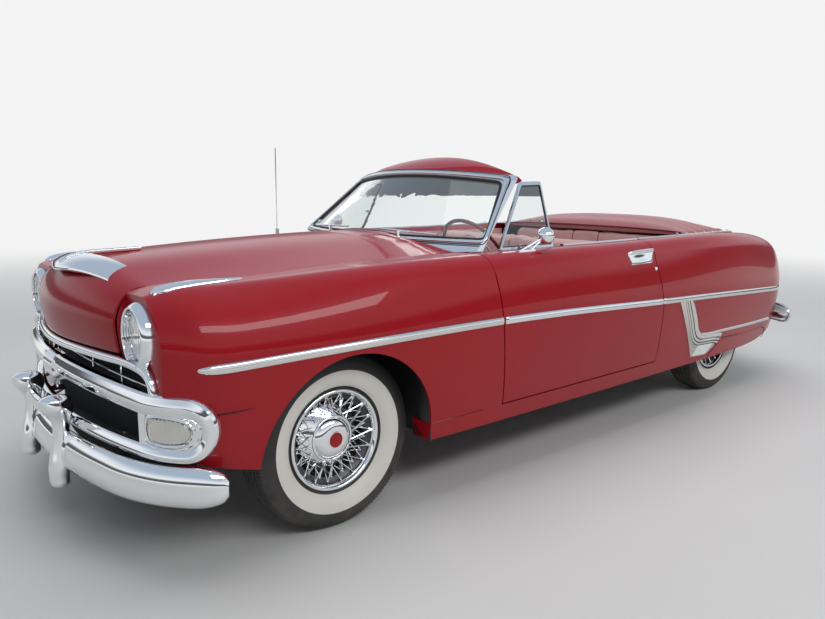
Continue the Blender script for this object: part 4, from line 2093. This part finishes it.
@dataclass
class Cabin:
    """Carpet, side panels, door cards, dashboard and steering wheel.

    A row of dials is distance across, share of the dash's height, radius, ticks and needle angle.
    """
    floor_z: float = 0.3115
    tunnel_z: float = 0.4215
    tunnel_half: float = 0.132
    carpet_y: tuple = (0.0, 0.12, 0.131, 0.134, 0.145, 0.2, 0.4, 0.6, 0.77, 0.775)
    wall_y: float = 0.7985
    knob: tuple = ((0.0, -0.034), (0.010, -0.032), (0.012, -0.012), (0.024, -0.006), (0.025, 0.006))
    dash_profile: tuple = (
        (0.972, 1.0435), (0.93, 1.0445), (0.86, 1.043), (0.79, 1.037), (0.735, 1.026), (0.7185, 1.016),
        (0.7165, 1.010), (0.7200, 1.004), (0.7465, 0.878), (0.7500, 0.8725), (0.760, 0.871),
        (0.785, 0.875), (0.80, 0.90), (0.95, 1.0))
    dials: tuple = ((0.385, 0.5, 0.056, 13, -1.2), (0.262, 0.5, 0.038, 7, 0.4),
                    (0.508, 0.5, 0.038, 7, -0.3), (-0.165, 0.5, 0.030, 13, 0.9))
    radio: tuple = ((-0.10, 0.14), (-0.10, 0.88), (0.10, 0.88), (0.10, 0.14), (-0.10, 0.14))
    knob_y: tuple = (0.17, 0.135, 0.60, -0.24)
    dash_knob: tuple = ((0.0, -0.024), (0.011, -0.022), (0.012, -0.012), (0.005, -0.008), (0.005, 0.0))
    wheel_at: tuple = (0.520, 0.380, 1.012)
    wheel_tilt: float = math.radians(32.0)
    wheel_r: float = 0.2075
    horn_r: float = 0.105
    grip_steps: int = 180

    def carpet(self) -> None:
        """Carpet over floor and tunnel as one cloth-thick shell with a soft edge."""
        half = np.array(self.carpet_y)
        y = np.concatenate([-half[:0:-1], half])
        z = np.where(np.abs(y) < self.tunnel_half, self.tunnel_z, self.floor_z)
        x = np.concatenate([[-0.432], np.linspace(-0.43, 0.97, 40), [0.972]])[:, None]
        low = xyz(x, y, z)
        high = low.copy()
        high[..., 2] += 0.007 + 0.001 * np.sin(37 * x) * np.sin(29 * y)
        high[[0, -1], :, 2] = low[[0, -1], :, 2] + 0.002
        Shape("carpet").plate(high, low).make("body", [CARPET])

    def card(self, shape: Shape, x: tuple, z: tuple, slot: int, bulge: float) -> None:
        """Adds a padded panel against a side wall, its inner face crowned towards the cabin.

        Args:
            shape: shape that takes it.
            x: rear and front end.
            z: foot and top.
            slot: material number.
            bulge: height of the crown.
        """
        u, v = np.linspace(-1, 1, 33)[:, None], np.linspace(-1, 1, 21)[None]
        rise = bulge * (1 - np.abs(u) ** 10) * (1 - np.abs(v) ** 8)
        x = (x[0] + x[1]) / 2 + (x[1] - x[0]) / 2 * u
        z = (z[0] + z[1]) / 2 + (z[1] - z[0]) / 2 * v
        shape.plate(xyz(x, self.wall_y - rise - 0.0005, z), xyz(x, self.wall_y, z), slot)

    def sides(self, side: Side) -> None:
        """Door card with armrest, winder, pull and strips, and the panel beside the rear seat.

        Args:
            side: which side.
        """
        y = self.wall_y
        strip = oval(0.007, 0.004, 0.004, 12)
        crank = oval(0.006, 0.004, 0.004, 12)
        door = Shape(f"door_card_{side.word}")
        self.card(door, (-0.33, 0.835), (0.62, 1.045), 0, 0.008)
        self.card(door, (-0.33, 0.80), (0.40, 0.615), 1, 0.006)
        for z in (0.6175, 0.80):
            path = np.array([(-0.325, y - 0.009, z), (0.25, y - 0.009, z), (0.828, y - 0.009, z)])
            door.tube(resample(path, 9), strip, slot=2)
        armrest = rounded_box((-0.10, y - 0.058, 0.69), (0.30, y - 0.006, 0.745), 0.02, 20)
        door.grid(armrest, wrap_v=True, slot=1)
        for x, z, reach in ((0.47, 0.70, 0.07), (0.62, 0.86, 0.05)):
            door.grid(turned(self.knob, 20) + [x, y - 0.006, z], wrap_u=True, slot=2)
            arm = np.array([(x, y - 0.026, z), (x + 0.6 * reach, y - 0.03, z - 0.8 * reach)])
            door.tube(resample(arm, 5), crank, slot=2)
            grip = rounded_box(arm[1] - [0.011, 0.03, 0.011], arm[1] + [0.011, 0.0, 0.011], 0.011, 12)
            door.grid(grip, wrap_v=True, slot=3)
        door.flip(side).make(BODY_OF[f"door_{side.word}"], [LEATHER, LEATHER_RED, CHROME, IVORY], sharp=50.0)
        wall = Shape(f"quarter_card_{side.word}")
        self.card(wall, (-0.985, -0.425), (0.60, 1.045), 0, 0.008)
        self.card(wall, (-0.985, -0.425), (0.40, 0.595), 1, 0.006)
        armrest = rounded_box((-0.88, y - 0.125, 0.60), (-0.46, y - 0.006, 0.66), 0.025, 20)
        wall.grid(armrest, wrap_v=True, slot=1)
        wall.flip(side).make("body", [LEATHER, LEATHER_RED], sharp=50.0)

    def dash_face(self, y: ArrayLike, v: ArrayLike, out: ArrayLike) -> np.ndarray:
        """Points on the leaning dash face at a distance across, a share of its height, moved out."""
        y, v, out = arrays(y, v, out)
        return np.stack([0.746 - 0.030 * v - out * 0.978, y, 0.874 + 0.138 * v + out * 0.2], -1)

    def dial(self, shape: Shape, y: float, v: float, radius: float, ticks: int, turn: float) -> None:
        """Adds a round gauge: bezel, dark face, ticks, needle and a domed boss.

        Args:
            shape: shape that takes it.
            y: distance across.
            v: share of the dash's height.
            radius: radius of the face.
            ticks: number of ticks.
            turn: angle of the needle from upright.
        """
        centre = self.dash_face(y, v, 0.001)
        normal = self.dash_face(0.0, 0.5, 1.0) - self.dash_face(0.0, 0.5, 0.0)
        across = -np.array(SIDEWAYS)
        up = np.cross(normal, across)
        up *= np.sign(up[2])

        def ray(angle: float, wide: float) -> tuple:
            """Direction at an angle from upright, and a half width across it."""
            way = across * math.sin(angle) + up * math.cos(angle)
            return way, np.cross(way, normal) * wide

        bezel = [(radius + 0.006, 0.0), (radius + 0.005, 0.009), (radius, 0.012), (radius - 0.004, 0.006),
                 (radius - 0.004, 0.0)]
        face = [(radius - 0.003, 0.002), (0.0, 0.002)]
        boss = [(0.006, 0.002), (0.0055, 0.006), (0.0, 0.007)]
        for profile, steps, slot in ((bezel, 48, 1), (face, 48, 2), (boss, 16, 1)):
            grid = turned(profile, steps) @ np.array([across, normal, up])
            shape.grid(centre + grid, wrap_u=True, slot=slot)
        for number in range(ticks):
            way, wide = ray(math.radians(-130 + 260 * number / (ticks - 1)), 0.0006 if number % 2 else 0.0011)
            near, far = radius * (0.78 if number % 2 else 0.72), radius * 0.88
            corners = [[way * r + wide * s + normal * 0.0028 for s in (-1, 1)] for r in (near, far)]
            shape.grid(centre + np.array(corners), slot=3)
        way, wide = ray(turn, 0.0011)
        lift = normal * 0.004
        needle = [[lift - way * 0.01 + wide * s, lift + way * radius * 0.7 + wide * s * 0.3] for s in (-1, 1)]
        shape.grid(centre + np.array(needle), slot=4)

    def dash(self) -> None:
        """Dashboard: painted shell, bright strips, gauges, radio grille, glove box and knobs."""
        y = np.concatenate([[-0.684], np.linspace(-0.683, 0.683, 59), [0.684]])[:, None]
        profile = np.array(self.dash_profile)
        shape = Shape("dash_shell").grid(with_poles(xyz(profile[:, 0], y, profile[:, 1])), wrap_v=True)
        for v, half in ((0.93, 0.005), (0.06, 0.006)):
            across = np.linspace(-0.665, 0.665, 33)
            shape.tube(self.dash_face(across, v, 0.001), oval(0.003, half, half, 14), slot=1)
        for number in range(17):
            rib = self.dash_face(-0.075 + number * 0.0095, np.linspace(0.2, 0.82, 5), 0.001)
            shape.tube(rib, ring(0.003, 8), SIDEWAYS, slot=1)
        for (y0, v0), (y1, v1) in zip(self.radio, self.radio[1:]):
            edge = self.dash_face(np.linspace(y0, y1, 5), np.linspace(v0, v1, 5), 0.001)
            shape.tube(edge, ring(0.0035, 8), (1.0, 0.0, 0.3), slot=1)
        for v in (0.16, 0.84):
            shape.tube(self.dash_face(np.linspace(-0.60, -0.22, 9), v, 0.0006), ring(0.0012, 6), slot=5)
        for dial in self.dials:
            self.dial(shape, *dial)
        for at in self.knob_y:
            knob = turned(self.dash_knob, 20)[..., [1, 0, 2]]
            shape.grid(knob + self.dash_face(at, 0.28, 0.0), wrap_u=True, slot=3)
        shape.make("body", [PAINT, CHROME, DIAL, IVORY, WHEEL_RED, DARK], "dashboard", sharp=40.0)

    def wheel(self) -> None:
        """Steering wheel: thin rim with finger grips, horn ring, hub and three spokes, and the levers."""
        axis = np.array([-math.cos(self.wheel_tilt), 0.0, math.sin(self.wheel_tilt)])
        across = np.array(SIDEWAYS)
        up = np.cross(axis, across)
        up *= np.sign(up[2])
        centre = np.array(self.wheel_at)

        def spin(profile: ArrayLike, steps: int) -> np.ndarray:
            """Profile of (radius, along the axis) turned about the wheel's axis."""
            return centre + turned(profile, steps) @ np.array([across, axis, up])

        shape = Shape("steering_wheel_trim")
        a = angles(16)
        rim = spin(np.stack([self.wheel_r + 0.0108 * np.cos(a), 0.0095 * np.sin(a)], -1), self.grip_steps)
        grips = 1.0 - 0.10 * (np.cos(np.arange(self.grip_steps) * np.pi / 2) > 0.5)
        middle = rim.mean(1, keepdims=True)
        shape.grid(middle + (rim - middle) * grips[:, None, None], wrap_u=True, wrap_v=True)
        horn = np.stack([self.horn_r + 0.004 * np.cos(a), 0.016 + 0.004 * np.sin(a)], -1)
        shape.grid(spin(horn, 96), wrap_u=True, wrap_v=True, slot=1)
        cap = [(0.0, 0.030), (0.018, 0.028), (0.030, 0.020), (0.034, 0.008), (0.036, -0.02)]
        shape.grid(spin(cap, 48), wrap_u=True, slot=1)
        hub = [(0.036, 0.002), (0.038, -0.004), (0.037, -0.024), (0.0, -0.025)]
        shape.grid(spin(hub, 48), wrap_u=True)
        for turn in (0.0, math.pi, -math.pi / 2):
            way = across * math.cos(turn) + up * math.sin(turn)
            t = np.array([0.03, 0.08, 0.14, 0.203])[:, None]
            path = centre + way * t - axis * (0.004 + 0.006 * np.sin(np.pi * t / 0.2))
            shape.tube(path, oval(0.004, 0.008, 0.008, 14), axis)
        for way in (across, -across):
            path = centre + way * np.array([0.02, 0.06, 0.104])[:, None] + axis * 0.016
            shape.tube(path, ring(0.0042, 10), axis, slot=1)
        shape.make(BODY_OF["steering_wheel"], [WHEEL_RED, CHROME], "steering_wheel")
        column = Shape("steering_levers")
        for way, reach in ((across, 0.15), (-across, 0.13)):
            out, rise = np.linspace(0.03, reach, 8)[:, None], np.linspace(0, 0.05, 8)[:, None]
            path = centre - axis * 0.085 + way * out + up * rise
            column.tube(path, ring(0.0045, 10), axis)
            column.grid(rounded_box(path[-1] - 0.009, path[-1] + 0.009, 0.009, 12), wrap_v=True, slot=1)
        column.make("body", [CHROME, IVORY])

    def build(self) -> None:
        """The whole cabin."""
        self.carpet()
        for side in Side:
            self.sides(side)
        self.dash()
        self.wheel()


@dataclass
class SplashSheet:
    """Dark sheets behind the front wheels that close the arches towards sill and frame."""
    plan: tuple = ((1.322, 0.935), (1.316, 0.860), (1.290, 0.800), (1.278, 0.730), (1.272, 0.620),
                   (1.270, 0.440))
    low: float = 0.300
    high: float = 0.770
    thick: float = 0.003

    def build(self) -> None:
        """Both sheets."""
        path = resample(self.plan, 24)
        front = xyz(path[:, :1], path[:, 1:], np.linspace(self.low, self.high, 9))
        for side in Side:
            shape = Shape(f"splash_sheet_{side.word}").plate(front, front - [self.thick, 0.0, 0.0])
            shape.flip(side).make("body", [UNDERBODY])


# Studio

@dataclass
class Studio:
    """Pale floor, soft lamps and the camera at the photograph's viewing angle.

    A row of lamps is name, place, size, power and whether it shows in reflections.
    """
    camera_at: tuple = (3.2382, 3.0449, 1.3588)
    yaw: float = -130.599
    pitch: float = -9.811
    roll: float = 0.548
    lens: float = 30.85
    radii: tuple = (0.0, 4.0, 8.0, 14.0, 30.0, 120.0)
    backdrop: tuple = (0.9, 0.9, 0.9, 1)
    pale: tuple = (0.70, 0.70, 0.695, 1)
    paler: tuple = (0.73, 0.73, 0.725, 1)
    trees: tuple = (0.10, 0.11, 0.12, 1)
    haze: tuple = (0.90, 0.93, 0.97, 1)
    sky: tuple = (0.42, 0.50, 0.62, 1)
    daylight: tuple = (0.93, 0.96, 1.0, 1)
    daylight_strength: float = 0.3
    target: tuple = (0.0, 0.0, 0.6)
    lamps: tuple = (("key", (1.0, 7.0, 6.0), (9.0, 1.6), 270.0, True),
                    ("top", (0.0, 0.0, 6.5), (9.0, 5.0), 210.0, False),
                    ("fill", (-4.0, -6.5, 4.5), (7.0, 2.2), 150.0, False))

    def camera(self) -> None:
        """Camera whose right, up and back axes come from its yaw, pitch and roll."""
        yaw, pitch, roll = (math.radians(v) for v in (self.yaw, self.pitch, self.roll))
        ahead = Vector((math.cos(pitch) * math.cos(yaw), math.cos(pitch) * math.sin(yaw), math.sin(pitch)))
        right = ahead.cross(Vector(UP)).normalized()
        up = right.cross(ahead)
        rolled = right * math.cos(roll) + up * math.sin(roll)
        top = up * math.cos(roll) - right * math.sin(roll)
        data = bpy.data.cameras.new("camera")
        data.lens, data.sensor_width, data.clip_end = self.lens, 36.0, 300.0
        obj = bpy.data.objects.new("camera", data)
        matrix = Matrix((rolled, top, -ahead)).transposed().to_4x4()
        matrix.translation = Vector(self.camera_at)
        obj.matrix_world = matrix
        bpy.context.scene.collection.objects.link(obj)
        bpy.context.scene.camera = obj

    def floor(self) -> None:
        """Round floor that fades to the backdrop's white with its distance from the car."""
        a, radii = angles(96)[:, None], np.array(self.radii)
        grid = xyz(radii * np.cos(a), radii * np.sin(a), 0.0)
        mesh = Shape("floor").grid(grid, wrap_u=True).mesh()
        obj = bpy.data.objects.new("floor", mesh)
        bpy.context.scene.collection.objects.link(obj)
        material = bpy.data.materials.new("pale_floor")
        material.use_nodes = True
        wire = Wire(material.node_tree)
        shader = material.node_tree.nodes["Principled BSDF"]
        out = material.node_tree.nodes["Material Output"]
        spot = wire.place()
        tone = wire.ramp(wire.noise(spot, 0.8, 4.0), 0.2, 0.8)
        wire.put(shader.inputs["Base Color"], wire.mix(tone, self.pale, self.paler))
        shader.inputs["Roughness"].default_value = 0.55
        glow = wire.node("ShaderNodeEmission", {"Color": self.backdrop})
        away = wire.node("ShaderNodeVectorMath", {0: spot}, operation="LENGTH").outputs["Value"]
        ray = wire.node("ShaderNodeLightPath").outputs
        seen = wire.math("MAXIMUM", wire.math("MAXIMUM", ray["Is Camera Ray"], ray["Is Glossy Ray"]),
                         ray["Is Transmission Ray"])
        share = wire.math("MULTIPLY", wire.ramp(away, 3.5, 14.0), seen)
        mixed = wire.node("ShaderNodeMixShader", {0: share, 1: shader.outputs[0], 2: glow.outputs[0]})
        wire.put(out.inputs["Surface"], mixed.outputs[0])
        mesh.materials.append(material)

    def world(self) -> None:
        """Backdrop: white for the camera; for metal a dark band at eye level, pale above, blue overhead."""
        world = bpy.data.worlds.new("backdrop")
        bpy.context.scene.world = world
        world.use_nodes = True
        wire = Wire(world.node_tree)
        ground = world.node_tree.nodes["Background"]
        ground.inputs["Color"].default_value = self.daylight
        ground.inputs["Strength"].default_value = self.daylight_strength
        facing = wire.node("ShaderNodeTexCoord").outputs["Generated"]
        height = wire.node("ShaderNodeSeparateXYZ", {0: facing}).outputs["Z"]
        eye_level = wire.mix(wire.ramp(height, 0.10, 0.20), self.trees, self.haze)
        sky = wire.mix(wire.ramp(height, 0.22, 0.55), eye_level, self.sky)
        ray = wire.node("ShaderNodeLightPath").outputs
        seen = wire.math("MAXIMUM", ray["Is Glossy Ray"], ray["Is Transmission Ray"])
        mirror = wire.node("ShaderNodeBackground", {"Color": sky, "Strength": 1.0})
        plain = wire.node("ShaderNodeBackground", {"Color": self.backdrop, "Strength": 1.0})
        first = wire.node("ShaderNodeMixShader", {0: seen, 1: ground.outputs[0], 2: mirror.outputs[0]})
        second = wire.node("ShaderNodeMixShader", {0: ray["Is Camera Ray"], 1: first.outputs[0],
                                                   2: plain.outputs[0]})
        wire.put(world.node_tree.nodes["World Output"].inputs["Surface"], second.outputs[0])

    def lamp(self, name: str, at: tuple, size: tuple, power: float, shiny: bool) -> None:
        """One soft rectangular lamp that faces the car.

        Args:
            name: lamp name.
            at: its place.
            size: width and height.
            power: strength in watts.
            shiny: whether it shows in reflections.
        """
        data = bpy.data.lights.new(name, "AREA")
        data.shape, data.size, data.size_y, data.energy = "RECTANGLE", size[0], size[1], power
        obj = bpy.data.objects.new(name, data)
        facing = (Vector(self.target) - Vector(at)).to_track_quat("-Z", "Y")
        obj.matrix_world = Matrix.Translation(at) @ facing.to_matrix().to_4x4()
        obj.visible_glossy = shiny
        bpy.context.scene.collection.objects.link(obj)

    def build(self) -> None:
        """Floor, world, lamps and camera."""
        self.floor()
        self.world()
        for lamp in self.lamps:
            self.lamp(*lamp)
        self.camera()
        bpy.context.scene.view_settings.view_transform = "Standard"


# Order of work

CUSHIONS = (
    Cushion("front_cushion_leather", "front_seat_cushion",
            ((0.420, 0.490), (0.400, 0.311), (-0.060, 0.311), (-0.060, 0.545), (0.380, 0.560)), 0.690,
            seams=(0.0,), edges=((0.40, 0.55),)),
    Cushion("front_back_leather", "front_seat_back",
            ((-0.061, 0.311), (-0.180, 0.311), (-0.290, 1.050), (-0.260, 1.078), (-0.170, 1.060),
             (-0.061, 0.600)), 0.690, seams=(0.0,), edges=((-0.28, 1.06),)),
    Cushion("rear_cushion_leather", "rear_seat_cushion",
            ((-0.440, 0.490), (-0.460, 0.311), (-0.900, 0.311), (-0.900, 0.545), (-0.480, 0.565)), 0.660,
            seams=(-0.11, 0.11), edges=((-0.46, 0.55),)),
    Cushion("rear_back_leather", "rear_seat_back",
            ((-0.901, 0.311), (-1.049, 0.311), (-1.049, 1.060), (-1.020, 1.085), (-0.975, 1.070),
             (-0.901, 0.600)), 0.660, seams=(-0.11, 0.11), edges=((-1.035, 1.07),)),
)

NODE_FINISH = {
    "antenna": STAINLESS, "engine": IRON, "exhaust": IRON, "floor_pan": UNDERBODY,
    "front_suspension": UNDERBODY, "fuel_tank": UNDERBODY, "inner_fenders": UNDERBODY,
    "knuckle_left": UNDERBODY, "knuckle_right": UNDERBODY, "mirror_left": CHROME, "mirror_right": CHROME,
    "radiator": DARK, "rear_axle": UNDERBODY, "steering_column": PAINT, "windshield_frame": CHROME,
    "windshield_glass": GLASS, "windshield_header": PAINT, "wipers": CHROME,
}


def main() -> None:
    """Builds the car's visual model, piece by piece."""
    logging.basicConfig(level=logging.INFO, format="%(name)s: %(message)s")
    for node, finish in NODE_FINISH.items():
        paint_node(node, finish)
    PaintedPanels().build()
    WireWheel("front", FRONT_AXLE_X, FRONT_HALF_TRACK).build()
    WireWheel("rear", REAR_AXLE_X, REAR_HALF_TRACK).build()
    Bumper("front_bumper_metal", "front_bumper", (2.566, 2.50, 0.56, 2.238, 0.935), 0.345,
           2.6145, 1.0).build()
    Bumper("rear_bumper_metal", "rear_bumper", (-2.572, -2.515, 0.56, -2.33, 0.905), 0.43,
           -2.6145, -1.0).build()
    Grille().build()
    Headlamps().build()
    for side in Side:
        SideTrim().build(side)
    for cushion in CUSHIONS:
        cushion.build()
    TopBoot().build()
    Screen().build()
    for side in Side:
        VentWindow().build(side)
    Cabin().build()
    SplashSheet().build()
    FrontTrim().build()
    RearTrim().build()
    Studio().build()


if __name__ == "__main__":
    main()
